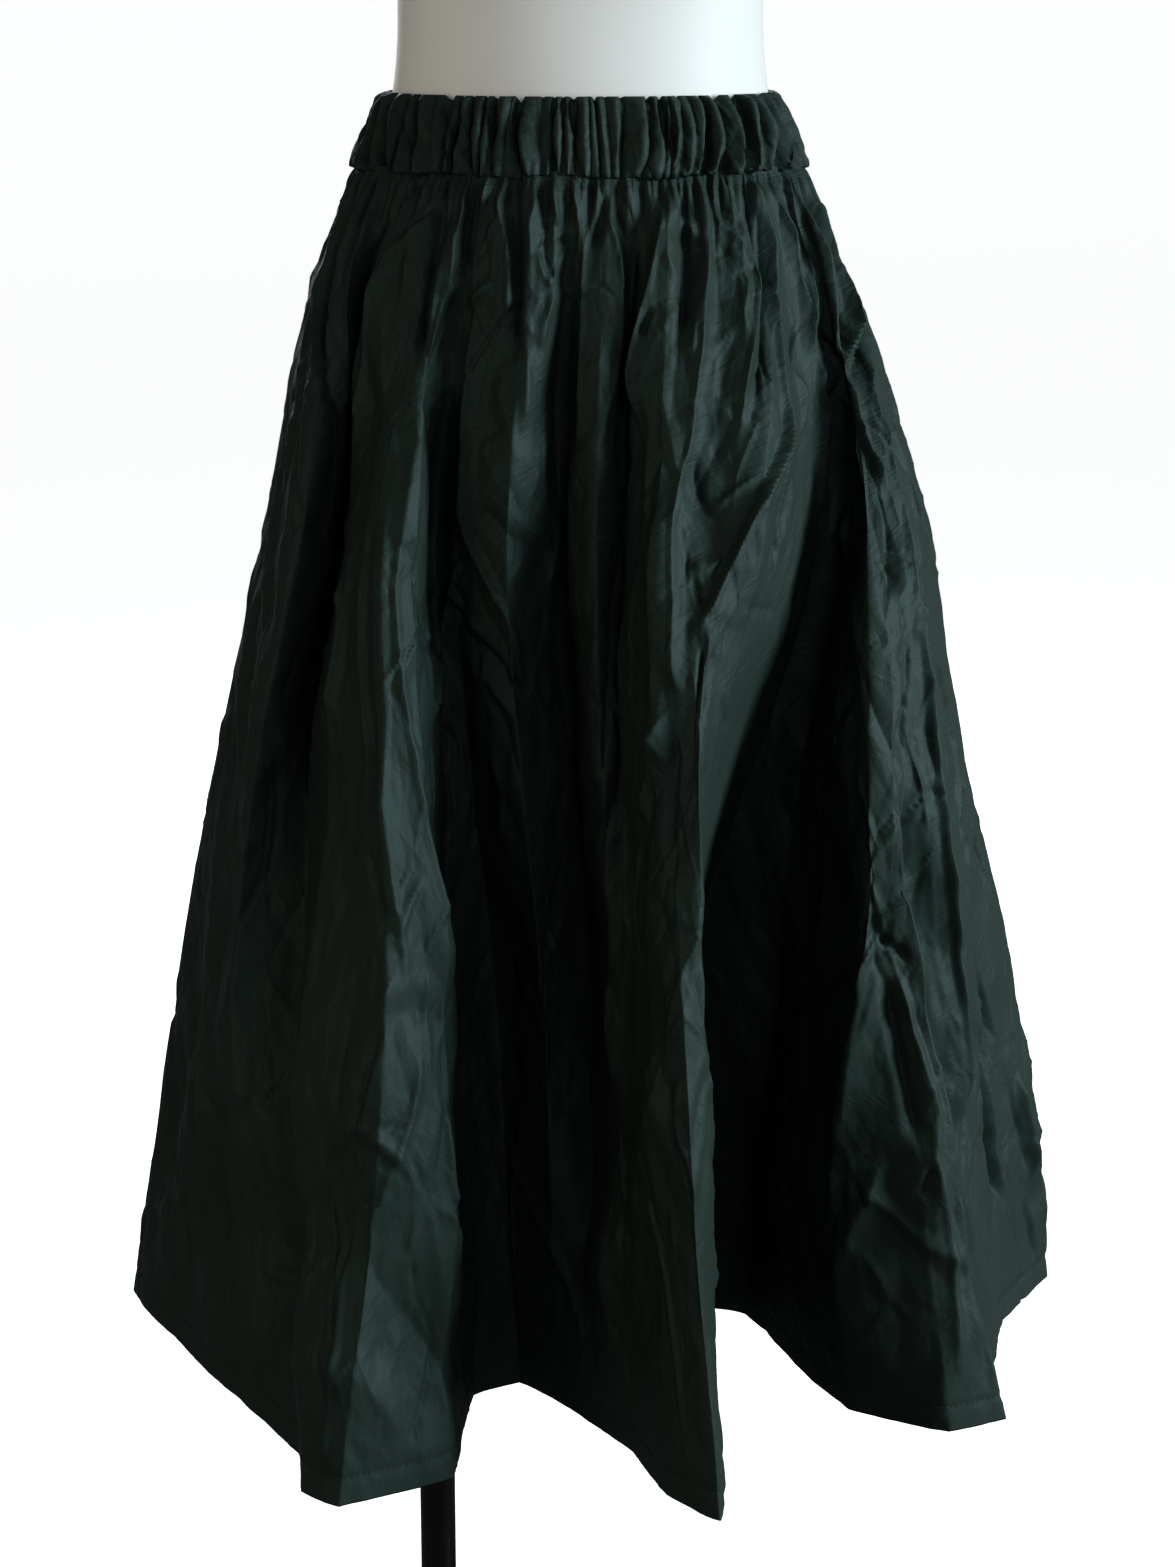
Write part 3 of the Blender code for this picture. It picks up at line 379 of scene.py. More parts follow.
# The waistband's ruches: lines down the band, crests above 0 and troughs below, in mm.
# top, middle and bottom: degrees round the seam at those heights of the band.
Ruche = namedtuple("Ruche", "height top middle bottom")
RUCHES = tuple(Ruche(*row) for row in (
    (0.8, 3, 4, 6), (-0.8, 6, 8, 11), (1.2, 9, 12, 17), (-1.6, 13, 17, 22), (1.2, 18, 21, 27),
    (-1.5, 22, 25, 31.5), (1.4, 28, 31, 37), (-1.8, 33, 35.5, 38.6), (1.5, 34.6, 37.2, 40),
    (-0.8, 37.6, 41, 45), (1.7, 41.5, 43, 47), (0.2, 45.6, 47, 50), (0.8, 46.6, 48.4, 52),
    (-1.8, 50, 52, 55), (1.6, 53.6, 55.6, 55.8), (-1.8, 55.4, 57, 56.6), (1.8, 56.6, 59.4, 57.4),
    (-1.3, 58.4, 61.8, 62.8), (1.3, 61.8, 63, 64.4), (-1, 63, 64.4, 65.3), (1.5, 64, 65.2, 66),
    (-1.5, 66, 67.4, 68.2), (1.8, 69.2, 69.2, 69.6), (-0.2, 70.8, 70.6, 71.6), (0.4, 71.2, 71.2, 72.6),
    (-3, 73, 72.4, 76.4), (2.2, 75.2, 73.8, 77.8), (-0.6, 79.6, 79.4, 81.2), (0.4, 81.8, 81.6, 82.6),
    (-1.9, 82.9, 83.1, 84), (1.5, 84, 84, 85), (-0.8, 85.2, 85.4, 86.2), (1.2, 86, 87.2, 87.2),
    (-2, 88.4, 88.6, 89.4), (2, 90.9, 91, 91.3), (-0.6, 92.4, 92.4, 92.6), (0.4, 93, 93.4, 93.8),
    (-2.2, 94, 94.8, 95.2), (1.2, 95, 96.2, 96.2), (-0.6, 97, 97.4, 97.4), (1.4, 99.6, 100.2, 98.2),
    (-2, 101.2, 101.4, 99.6), (2, 107.2, 107.2, 103.2), (-1.6, 109, 108.6, 105.2), (1.8, 110.8, 112, 108.2),
    (-1.8, 113.2, 113.3, 109.8), (1.4, 114.2, 114.4, 110.6), (-0.8, 115.1, 115.2, 111.6),
    (1.6, 115.8, 115.9, 112.4), (-0.6, 118.4, 118.4, 114.2), (1.2, 119.6, 121.2, 116.2),
    (0.2, 121.2, 122.8, 117.4), (2, 123, 125, 118.6), (-2.2, 125.6, 127, 121), (1.8, 127.2, 129.2, 123.4),
    (-2.4, 131.4, 132.4, 127), (2, 135.4, 136.8, 130.4), (-2.4, 139.6, 142, 134.6), (2, 142.2, 144.6, 137),
    (0, 145.6, 149, 140.8), (1.4, 148, 152.2, 143.4), (-1.8, 155.4, 157.2, 148), (1.4, 158.6, 160.8, 150.8),
    (-1.6, 162.6, 164, 154.6), (1, 166, 167, 158), (-1.2, 170, 170, 163), (0.8, 174, 174, 169),
    (-0.8, 178, 178, 176),
))
RUCHE_DEPTH = 1.8  # all the ruches' heights times this
DEEPER_AT_SIDES = 1.7  # how much more they have at the sides
RUCHE_CHANGE = 0.5  # how much a ruche's height changes down the band
RUCHE_ROUND = 1.6  # power: above 1 the crests are round and the troughs narrow
RUCHE_BEND = 0.5  # how much of the bend through its three places a ruche takes
BACK_SHIFT = 0.7  # degrees by which the back's ruches stray from the front's, mirrored
BAND_WALL = 2.4 * MM  # the casing's thickness at its top
BAND_PUFF = ((0, 0.0), (0.30, 1.2 * MM), (0.72, 1.0 * MM), (1, 0.0))  # (share down, bulge)
BAND_NARROW = ((0, 1.5 * MM), (0.35, 4.0 * MM), (1, 0.5 * MM))  # (share down, drawn in at the sides)
INNER_SLOPE = 0.16  # how much the casing's inner side leans away from the outer one
BAND_COLUMNS = 1260
BAND_OUTER_ROWS = 30
BAND_INSIDE = 42 * MM  # how far the fine sheet goes down inside
# Rows under the seam and over the top edge: (mm down, mm out, share of the ruches)
BAND_SEAM_ROWS = ((1.0, -2.0, 0.2), (0.6, -0.6, 0.35))
BAND_TOP_ROWS = ((0.8, -0.15, 0.45), (0.2, -0.6, 0.4), (0.0, -1.2, 0.3), (0.3, -1.9, 0.2))
PINCHED, PINCHED_FROM = 1.5, 0.72  # the stitches' pinches: share of the skirt's, share down
LIFTED, LIFTED_FROM = 0.4, 0.9  # the same for how far they lift the band's lower edge
BAND_CLOTH = 0.6 * MM  # the least room between the casing's outer and inner sides
BAND_HELD = 0.65  # how deep the ruches are at the seam and the top edge
TOP_SCALLOP = 0.55  # drop of the top edge at a trough, as a share of the trough's depth

# The fine sheets: columns round and rows down each. A panel is one width of cloth, but
# the front's fine mesh is in stretches, so that each is light enough.
FRONT_COLUMNS = 1080
BACK_COLUMNS = 360
PANEL_ROWS = 264
HEM_TURN_UP = 16 * MM
HEM_INSIDE = 1.2 * MM  # how far behind the face the turned-up edge lies
HEM_DIMPLE = 0.7 * MM  # how far the stitches draw the cloth in
HEM_PUCKERS = Gathers(120, 0.9, 8, 22, Uneven(2.1, 0.6), Uneven(1.1, 0.8), Uneven(2.7, 0.7), 0.0)
TUCKED_UNDER = 2.5 * MM  # how far the panels go up inside the waistband
FINE_SHARES = 7200  # steps round the knee by which the columns are placed
COLUMNS_BY_LENGTH = 0.65  # columns are spaced by this share of the knee's length, the rest by the seam's
ROWS_EVEN = 0.62  # share of the rows' spacing that is even; the rest widens down the cloth
ROWS_WIDENING = 1.6
HEM_ROWS = (-2.0, 0.0, 2.0, 5.0, 9.0, 12.5, 15.0, 16.0)  # mm below the stitches
TURNED_ROWS = (0.6, 5.0, 10.5, 16.0)  # mm up inside the hem
HEM_CALM = 90 * MM  # how far above the hem the facets start to flatten
FACET_SEEDS, NETWORK_SEEDS = 3, 30  # the first random seed of each
BAND_FACET_SEED, BAND_NETWORK_SEED = 21, 22
STITCH_LENGTH = 3.0 * MM
STITCH_GAP = 1.0 * MM
STITCH_WIDTH = 0.55 * MM
STITCH_TAPER = 0.5 * MM
SIDE_SEAM_DEPTH = 1.6 * MM  # how far a side seam draws the cloth in
SIDE_SEAM_REACH = 4.5 * MM

# The dress form's sections, as in its solid: rise from the waist's top edge, half width,
# depth to the front and back, and how square.
FormSection = namedtuple("FormSection", "rise half_width front back square")
FORM_SECTIONS = (
    FormSection(-0.290, 0.128, 0.082, 0.086, 2.0),
    FormSection(-0.279, 0.147, 0.094, 0.100, 2.0),
    FormSection(-0.240, 0.159, 0.101, 0.111, 2.0),
    FormSection(-0.190, 0.1615, 0.103, 0.115, 2.0),
    FormSection(-0.130, 0.1550, 0.101, 0.109, 2.0),
    FormSection(-0.085, 0.1430, 0.097, 0.101, 2.0),
    FormSection(-0.046, 0.1310, 0.095, 0.095, 2.0),
    FormSection(-0.020, 0.1230, 0.0925, 0.0920, 2.0),
    FormSection(0.000, 0.1190, 0.0915, 0.0915, 2.0),
    FormSection(0.055, 0.1150, 0.0880, 0.0860, 2.1),
    FormSection(0.110, 0.1190, 0.0950, 0.0880, 2.2),
    FormSection(0.165, 0.1300, 0.1080, 0.0940, 2.3),
    FormSection(0.215, 0.1390, 0.1260, 0.0980, 2.3),
    FormSection(0.255, 0.1430, 0.1300, 0.1010, 2.3),
    FormSection(0.300, 0.1480, 0.1180, 0.1020, 2.3),
    FormSection(0.345, 0.1560, 0.0970, 0.0960, 2.4),
    FormSection(0.378, 0.1540, 0.0820, 0.0860, 2.4),
    FormSection(0.400, 0.1380, 0.0720, 0.0780, 2.3),
    FormSection(0.418, 0.1080, 0.0640, 0.0700, 2.2),
    FormSection(0.434, 0.0800, 0.0580, 0.0630, 2.0),
    FormSection(0.455, 0.0620, 0.0530, 0.0570, 2.0),
    FormSection(0.485, 0.0560, 0.0510, 0.0530, 2.0),
    FormSection(0.495, 0.0530, 0.0480, 0.0500, 2.0),
    FormSection(0.500, 0.0460, 0.0410, 0.0430, 2.0),
)
FORM_SIDES = 112
FORM_RINGS = 110

# ---- sections of the cloth ----


def ellipse_point(half_sizes, degrees):
    angle = np.radians(degrees)
    return np.stack([-half_sizes[0] * np.cos(angle), -half_sizes[1] * np.sin(angle)], axis=-1)


def fold_levels():
    seam_degrees = np.array([line.seam for line in FOLD_LINES], float)
    seam = ellipse_point(BAND_BOTTOM, seam_degrees)
    hip = np.array([(line.hip_x, line.hip_y) for line in FOLD_LINES])
    knee = np.array([(line.knee_x, line.knee_y) for line in FOLD_LINES])
    hem = np.array([(line.hem_x, line.hem_y) for line in FOLD_LINES])
    high = ellipse_point(HIGH_HIP, seam_degrees) * (1 - FOLD_AT_HIGH) + hip * FOLD_AT_HIGH
    levels = np.stack([seam, high, hip, knee, hem])
    drops = np.array([BAND_HEIGHT, HIGH_DROP, HIP_DROP, KNEE_DROP, SKIRT_LENGTH])
    thigh, shin = down_the_cloth(levels, drops, [THIGH_DROP, SHIN_DROP])
    names = [line.name for line in FOLD_LINES]
    for bend in BENDS:
        level = thigh if bend.drop == THIGH_DROP else shin
        level[names.index(bend.name)] += (bend.move_x, bend.move_y)
    return np.stack([seam, high, hip, thigh, knee, shin, hem])


def line_shares():
    return np.array([line.seam / 360 for line in FOLD_LINES])


def hermite(share, left, right, slope_left, slope_right, width):
    s2, s3 = share**2, share**3
    return (
        (2 * s3 - 3 * s2 + 1) * left
        + (s3 - 2 * s2 + share) * width * slope_left
        + (3 * s2 - 2 * s3) * right
        + (s3 - s2) * width * slope_right
    )


def section_curve(points, shares, softness, at):
    """A closed plan curve through the fold lines' points, read at cloth shares `at`.
    It turns a corner at a pressed edge and runs round a soft one."""
    gap_before = ((shares - np.roll(shares, 1)) % 1.0)[:, None]
    gap_after = ((np.roll(shares, -1) - shares) % 1.0)[:, None]
    slope_in = (points - np.roll(points, 1, axis=0)) / gap_before
    slope_out = (np.roll(points, -1, axis=0) - points) / gap_after
    weight = gap_after / (gap_before + gap_after)
    through = slope_in * weight + slope_out * (1 - weight)
    soft = softness[:, None]
    arriving = soft * through + (1 - soft) * slope_in
    leaving = soft * through + (1 - soft) * slope_out
    start = (np.searchsorted(shares, at, side="right") - 1) % len(shares)
    end = (start + 1) % len(shares)
    width = gap_after[start]
    share = (((at - shares[start]) % 1.0)[:, None]) / width
    return hermite(share, points[start], points[end], leaving[start], arriving[end], width)


def down_the_cloth(levels, level_drops, drops):
    slopes = np.gradient(levels, level_drops, axis=0)
    rows = []
    for drop in drops:
        span = min(int(np.searchsorted(level_drops, drop, side="right")) - 1, len(level_drops) - 2)
        width = level_drops[span + 1] - level_drops[span]
        share = (drop - level_drops[span]) / width
        rows.append(hermite(share, levels[span], levels[span + 1], slopes[span], slopes[span + 1], width))
    return np.stack(rows)


def smooth_section(at, drops):
    """Plan points of the skirt without its gathers, as (drop, share, 2)."""
    shares = line_shares()
    softness = np.array([line.round for line in FOLD_LINES]) * CRISPNESS
    curves = [section_curve(points, shares, softness, at) for points in fold_levels()]
    level_drops = np.array([BAND_HEIGHT, HIGH_DROP, HIP_DROP, THIGH_DROP, KNEE_DROP, SHIN_DROP, SKIRT_LENGTH])
    return down_the_cloth(np.stack(curves), level_drops, drops)


def raised(plan, drops):
    heights = np.broadcast_to((WAIST_TOP - np.asarray(drops))[:, None, None], plan.shape[:2] + (1,))
    return np.concatenate([plan, heights], axis=-1)


# ---- gathers ----


def uneven_run(count, uneven):
    """Sizes round 1 that wander from one to the next and don't come again."""
    slow = uneven.pace * np.arange(count)
    fast = 2.7 * slow + 1.0
    return 1 + uneven.strength * (0.6 * np.sin(slow) + 0.4 * np.sin(fast))


def pleated_row(at, placed, heights, power):
    """One row of pleats read at shares `at`: rounded crests, and sharp troughs between."""
    placed = np.concatenate([placed, [placed[0] + 1]])
    heights = np.concatenate([heights, [heights[0]]])
    start = np.clip(np.searchsorted(placed, at, side="right") - 1, 0, len(placed) - 2)
    share = np.clip((at - placed[start]) / (placed[start + 1] - placed[start]), 0, 1)
    rising = heights[start + 1] > heights[start]
    up = np.where(rising, share, 1 - share)
    low = np.minimum(heights[start], heights[start + 1])
    high = np.maximum(heights[start], heights[start + 1])
    return low + (high - low) * (1 - (1 - up) ** power)


def gather_heights(at, drops, gathers):
    """How far the cloth stands out at each drop and share. Each gather leans a little
    and dies out at its own drop, and it is held flatter at the stitches."""
    edges = np.cumsum(uneven_run(gathers.count, gathers.widths))
    half = np.concatenate([[0.0], edges[:-1]]) / edges[-1] / 2
    columns = np.concatenate([half, half + 0.5])
    order = np.arange(len(columns))
    crest = np.where(order % 2 == 0, 1.0, -1.0)
    run = (uneven_run(len(columns), gathers.lengths) / 2) ** SHORT_GATHERS
    lengths = (gathers.shortest + (gathers.longest - gathers.shortest) * run) * MM
    depths = gathers.depth * MM * uneven_run(len(columns), gathers.depths) * crest
    lean = gathers.wander * (0.6 * np.sin(order * 0.61) + 0.6 * np.sin(order * 2.3 + 1))
    rows = []
    for drop in drops:
        below = max(drop - BAND_HEIGHT, 0)
        placed = np.maximum.accumulate(columns + lean * min(below / (gathers.longest * MM), 1))
        gap = np.diff(placed, append=placed[0] + 1) * len(columns)
        room = np.clip(np.minimum(gap, np.roll(gap, 1)) / ROOM_FOR_A_GATHER, 0, 1)
        held = HELD_AT_SEAM + (1 - HELD_AT_SEAM) * float(smooth_step(below / FREE_BELOW))
        depth = depths * np.clip(1 - below / lengths, 0, 1) ** GATHER_FADE * held * room
        power = 1 + ROUND_AT_SEAM * (1 - min(below / SINK_LENGTH, 1))
        rows.append(pleated_row(at, placed, depth, power))
    return np.stack(rows)


def seam_sink(drops):
    """The cloth turns in at the waist seam, and its gathers stay behind the band's face."""
    below = np.asarray(drops) - BAND_HEIGHT
    return -SEAM_TUCK * smooth_step(1 - below / (3 * MM)) - SEAM_SINK * smooth_step(1 - below / SINK_LENGTH)


# ---- creases and crumples ----


def smooth_step(value):
    value = np.clip(value, 0, 1)
    return value * value * (3 - 2 * value)


def arcs_at(arcs, shares, share):
    """Where one cloth share lies along every row."""
    column = np.searchsorted(shares, share % 1.0) - 1
    column = max(0, min(column, len(shares) - 2))
    part = (share % 1.0 - shares[column]) / (shares[column + 1] - shares[column])
    return arcs[:, column] + (arcs[:, column + 1] - arcs[:, column]) * np.clip(part, 0, 1)


def crease_profile(aside, crease):
    """A crease's cross-section: a soft rise to a sharp line, pinched along the line."""
    reach = crease.reach * MM * np.where(aside > 0, 1 + crease.lean, 1 - crease.lean)
    softened = np.sqrt(aside**2 + CREST_RADIUS**2) - CREST_RADIUS
    pinch = min(PINCH_SHARE, PINCH_HEIGHT / abs(crease.rise * MM))
    flank = np.clip(1 - softened / reach, 0, 1) ** FLANK_HOLLOW
    return flank + pinch * np.clip(1 - softened / PINCH_REACH, 0, 1)


def add_crease(heights, arcs, shares, drops, crease):
    """Adds one crease to the heights, along its path."""
    path = np.array(crease.path, float)
    path_drops = path[:, 1] * MM
    middle = arcs_at(arcs, shares, path[:, 0].mean() / 360)
    aside_at = []
    for degrees, drop in path:
        row = int(np.argmin(np.abs(drops - drop * MM)))
        aside_at.append(arcs_at(arcs, shares, degrees / 360)[row] - middle[row])
    knots = np.stack([aside_at, path_drops], axis=1)
    lengths = np.linalg.norm(np.diff(knots, axis=0), axis=1)
    start_of = np.concatenate([[0], np.cumsum(lengths)])
    margin = crease.reach * MM * 2
    rows = np.nonzero((drops > path_drops.min() - margin) & (drops < path_drops.max() + margin))[0]
    widest = (np.abs(np.array(aside_at)).max() + margin) * 1.5
    offset = arcs[rows][:, :-1] - middle[rows, None]
    near = np.nonzero((np.abs(offset) < widest).any(axis=0))[0]
    across = offset[:, near]
    down = np.broadcast_to(drops[rows, None], across.shape)
    best = np.full(across.shape, 1e9)
    aside = np.zeros(across.shape)
    along = np.zeros(across.shape)
    for first, second, length, start in zip(knots[:-1], knots[1:], lengths, start_of):
        direction = (second - first) / length
        rel_x, rel_y = across - first[0], down - first[1]
        foot = rel_x * direction[0] + rel_y * direction[1]
        held = np.clip(foot, 0, length)
        gap_x, gap_y = rel_x - held * direction[0], rel_y - held * direction[1]
        distance = np.hypot(gap_x, gap_y)
        side = np.sign(rel_x * direction[1] - rel_y * direction[0])
        closer = distance < best
        best = np.where(closer, distance, best)
        aside = np.where(closer, distance * side, aside)
        along = np.where(closer, start + held, along)
    share = along / start_of[-1]
    strength = smooth_step(share / crease.fade) * smooth_step((1 - share) / crease.fade)
    heights[np.ix_(rows, near)] += crease.rise * MM * strength * crease_profile(aside, crease)


def flat_faces(places, corners):
    """Heights read off a lattice's corners. Each cube is cut into six wedges, and the
    cloth's faces in them are flat, with straight sharp creases between."""
    size = len(corners)
    cell = np.floor(places).astype(int)
    part = places - cell
    order = np.argsort(-part, axis=-1, kind="stable")
    sorted_part = np.take_along_axis(part, order, axis=-1)
    before = np.concatenate([0 * part[..., :1] + 1, sorted_part], axis=-1)
    heights = corners[tuple(np.moveaxis(cell % size, -1, 0))] * (before[..., 0] - before[..., 1])
    for number in range(3):
        step = np.zeros_like(cell)
        np.put_along_axis(step, order[..., number : number + 1], 1, axis=-1)
        cell = cell + step
        share = sorted_part[..., number] - (sorted_part[..., number + 1] if number < 2 else 0)
        heights += corners[tuple(np.moveaxis(cell % size, -1, 0))] * share
    return heights


def lattice_places(points, grain, random):
    """Places in a lattice of one grain, leaning and a little bent."""
    turn = Euler((*random.uniform(-LATTICE_LEAN, LATTICE_LEAN, 2), random.uniform(0, math.pi))).to_matrix()
    waves = random.uniform(0, 2 * math.pi, 3)
    bend = np.sin(points[..., ::-1] * 2 * math.pi / (5 * grain.width) + waves)
    bent = points + LATTICE_BEND * grain.width * bend
    return bent @ np.array(turn) / (grain.width, grain.width, grain.length) + 100


def facet_field(points, facets, seed):
    """One size of crumpled facets over the whole skirt, from -0.5 to 0.5 high."""
    random = np.random.default_rng(seed)
    places = lattice_places(points, facets, random)
    return flat_faces(places, random.random((LATTICE_SIZE, LATTICE_SIZE, LATTICE_SIZE)) - 0.5)


def network_field(points, network, seed):
    """One network of thin creases, from -1 to 1 high: the borders between scattered
    seats' surroundings. Each border has a height of its own, up or down."""
    random = np.random.default_rng(seed)
    places = lattice_places(points, network, random)
    size = LATTICE_SIZE
    seats, keys = random.random((size, size, size, 3)), random.random((size, size, size))
    cell = np.floor(places).astype(int)
    gaps, marks = [], []
    for step in np.ndindex(3, 3, 3):
        near = cell + np.array(step) - 1
        index = tuple(np.moveaxis(near % size, -1, 0))
        gaps.append(((places - near - seats[index]) ** 2).sum(axis=-1))
        marks.append(keys[index])
    gaps, marks = np.stack(gaps, axis=-1), np.stack(marks, axis=-1)
    nearest = np.argpartition(gaps, (0, 1, 2), axis=-1)[..., :3]
    first, second, third = np.moveaxis(np.take_along_axis(gaps, nearest, axis=-1), -1, 0) / 2 * network.width
    mark = np.take_along_axis(marks, nearest, axis=-1)
    chance = (mark[..., 0] * mark[..., 1] * CREASE_MIX) % 1.0 * 2 - 1
    height = np.sign(chance) * (FAINTEST_CREASE + (1 - FAINTEST_CREASE) * np.abs(chance) ** 2)
    line = np.clip(1 - (second - first) / network.reach, 0, 1) ** NETWORK_HOLLOW
    return height * line * smooth_step((third - second) / network.reach)


def crumple_strength(degrees, drops):
    """How strongly the facets show at each place: 1, more or less in the table's patches."""
    total = np.ones((len(drops), len(degrees)))
    for crumple in CRUMPLES:
        aside = (degrees - crumple.degrees + 180) % 360 - 180
        below = (drops[:, None] - crumple.drop * MM) / (crumple.spread_down * MM)
        far = np.hypot(aside[None, :] / crumple.spread_across, below)
        total += crumple.strength * smooth_step(PATCH_EDGE - far)
    return total


def from_side_seam(arcs):
    """How far each point of the cloth lies from the nearer side seam, along its row."""
    half = arcs[:, -1:] / 2
    return np.minimum(arcs[:, :-1] % half, half - arcs[:, :-1] % half)


def crumpled(points, arcs, shares, drops):
    """Heights of the crumpled facets: less at the waist, the hem and the side seams."""
    from_seam = from_side_seam(arcs)
    below_waist = smooth_step((drops - BAND_HEIGHT) / FULL_BELOW)[:, None]
    heights = np.zeros((len(drops), len(shares)))
    for seed, facets in enumerate(FACETS):
        near_seam = smooth_step(from_seam / min(SEAM_FLAT, 2 * facets.width))
        near_waist = facets.near_waist + (1 - facets.near_waist) * below_waist
        heights += facets.height * near_seam * near_waist * facet_field(points, facets, seed + FACET_SEEDS)
    for seed, network in enumerate(NETWORKS):
        near_waist = network.near_waist + (1 - network.near_waist) * below_waist
        heights += network.rise * near_waist * network_field(points, network, seed + NETWORK_SEEDS)
    near_hem = HEM_STIFFNESS * smooth_step(1 - (SKIRT_LENGTH - drops) / HEM_CALM)
    return heights * crumple_strength(shares * 360, drops) * (1 - near_hem)[:, None]


def back_creases():
    """The front's creases again on the back's folds, strayed and uneven, some left out."""
    front, back = zip(*BACK_PLACES)
    repeated = []
    for number, crease in enumerate(CREASES):
        if number % BACK_LEAVES_OUT == 2:
            continue
        lower, longer = BACK_STRAY * math.sin(1.7 * number), 1 + BACK_STRETCH * math.sin(2.3 * number)
        path = [
            (float(np.interp(degrees, front, back)), max(drop * longer + lower, BAND_HEIGHT / MM))
            for degrees, drop in crease.path
        ]
        rise = crease.rise * (BACK_RISE + BACK_UNEVEN * math.sin(0.9 * number))
        repeated.append(crease._replace(rise=rise, lean=-crease.lean, path=tuple(path)))
    return repeated


# ---- fine sheets ----


def closed_normals(points):
    """Outward unit normals of a grid of points whose columns close on themselves."""
    across = np.roll(points, -1, axis=1) - np.roll(points, 1, axis=1)
    down = np.gradient(points, axis=0)
    normals = np.cross(down, across)
    return normals / np.linalg.norm(normals, axis=-1, keepdims=True)


def arc_positions(points):
    """How far each point lies along its row, from the left side seam."""
    steps = np.linalg.norm(np.diff(points, axis=1, append=points[:, :1]), axis=-1)
    return np.concatenate([np.zeros((len(points), 1)), np.cumsum(steps, axis=1)], axis=1)


def panel_shares():
    """Shares of the fine columns all round: evenly spaced at the knee, closer at folds,
    and finer on the front."""
    fine = np.arange(FINE_SHARES) / FINE_SHARES
    knee = raised(smooth_section(fine, [KNEE_DROP]), [KNEE_DROP])
    length = arc_positions(knee)[0]
    seam_share = np.concatenate([fine, [1.0]])
    weight = COLUMNS_BY_LENGTH * length / length[-1] + (1 - COLUMNS_BY_LENGTH) * seam_share
    both = []
    for start, end, columns in ((0.0, 0.5, FRONT_COLUMNS), (0.5, 1.0, BACK_COLUMNS)):
        low, high = np.interp([start, end], seam_share, weight)
        both.append(np.interp(np.linspace(low, high, columns + 1)[:-1], weight, seam_share))
    return np.concatenate(both)


def row_drops():
    """Drops of the fine rows: close under the waist seam, even below, close at the hem."""
    stitch_line = SKIRT_LENGTH - HEM_TURN_UP
    share = np.linspace(0, 1, PANEL_ROWS - len(HEM_ROWS))
    first = BAND_HEIGHT - TUCKED_UNDER
    spacing = ROWS_EVEN * share + (1 - ROWS_EVEN) * share**ROWS_WIDENING
    even = first + (stitch_line - 4 * MM - first) * spacing
    return np.concatenate([even, np.array(HEM_ROWS) * MM + stitch_line])


def sheet_mesh(name, points, closed, normals=None):
    """A mesh of quads over a grid of points, (row, column, 3). Normals from the whole
    cloth keep the shading even where two stretches meet."""
    rows, columns = points.shape[:2]
    index = np.arange(rows * columns).reshape(rows, columns)
    if closed:
        index = np.concatenate([index, index[:, :1]], axis=1)
    quads = np.stack([index[:-1, :-1], index[1:, :-1], index[1:, 1:], index[:-1, 1:]], axis=-1).reshape(-1, 4)
    mesh = bpy.data.meshes.new(name)
    mesh.vertices.add(rows * columns)
    mesh.vertices.foreach_set("co", points.reshape(-1).astype(np.float32))
    mesh.loops.add(quads.size)
    mesh.loops.foreach_set("vertex_index", quads.reshape(-1).astype(np.int32))
    mesh.polygons.add(len(quads))
    mesh.polygons.foreach_set("loop_start", np.arange(0, quads.size, 4, dtype=np.int32))
    mesh.update()
    mesh.validate()
    mesh.shade_smooth()
    if normals is not None:
        mesh.normals_split_custom_set_from_vertices(normals.reshape(-1, 3))
    made = bpy.data.objects.new(name, mesh)
    bpy.context.scene.collection.objects.link(made)
    return made


def store_cut(piece, places):
    """Keeps each point's place on the flat cut, in metres, for the weave."""
    layer = piece.data.attributes.new("cut", "FLOAT_VECTOR", "POINT")
    layer.data.foreach_set("vector", places.reshape(-1).astype(np.float32))


# ---- materials ----

DYED_DARK, DYED_LIGHT = "#272F2A", "#2F3732"
YARNS_A_METRE = (30, 1100, 1)  # uneven lengths along a yarn, and yarns side by side
WRINKLES_A_METRE = (110, 55, 1)


def linear(hex_colour):
    """The linear colour of an sRGB hex value."""
    parts = [int(hex_colour[i : i + 2], 16) / 255 for i in (1, 3, 5)]
    return tuple(c / 12.92 if c <= 0.04045 else ((c + 0.055) / 1.055) ** 2.4 for c in parts) + (1.0,)


def add_node(tree, kind, settings=None, links=None, **values):
    """A node of a kind, with its settings, its sockets' values, and links into its sockets."""
    node = tree.nodes.new(kind)
    for name, value in (settings or {}).items():
        setattr(node, name, value)
    for name, value in values.items():
        node.inputs[name.replace("_", " ")].default_value = value
    for name, source in (links or {}).items():
        tree.links.new(source, node.inputs[name])
    return node


def plain_finish(name, colour, roughness, specular=0.5):
    """A material with a Principled shader, and its node tree."""
    made = bpy.data.materials.new(name)
    made.use_nodes = True
    shader = made.node_tree.nodes["Principled BSDF"]
    shader.inputs["Base Color"].default_value = linear(colour)
    shader.inputs["Roughness"].default_value = roughness
    shader.inputs["Specular IOR Level"].default_value = specular
    return made, made.node_tree, shader


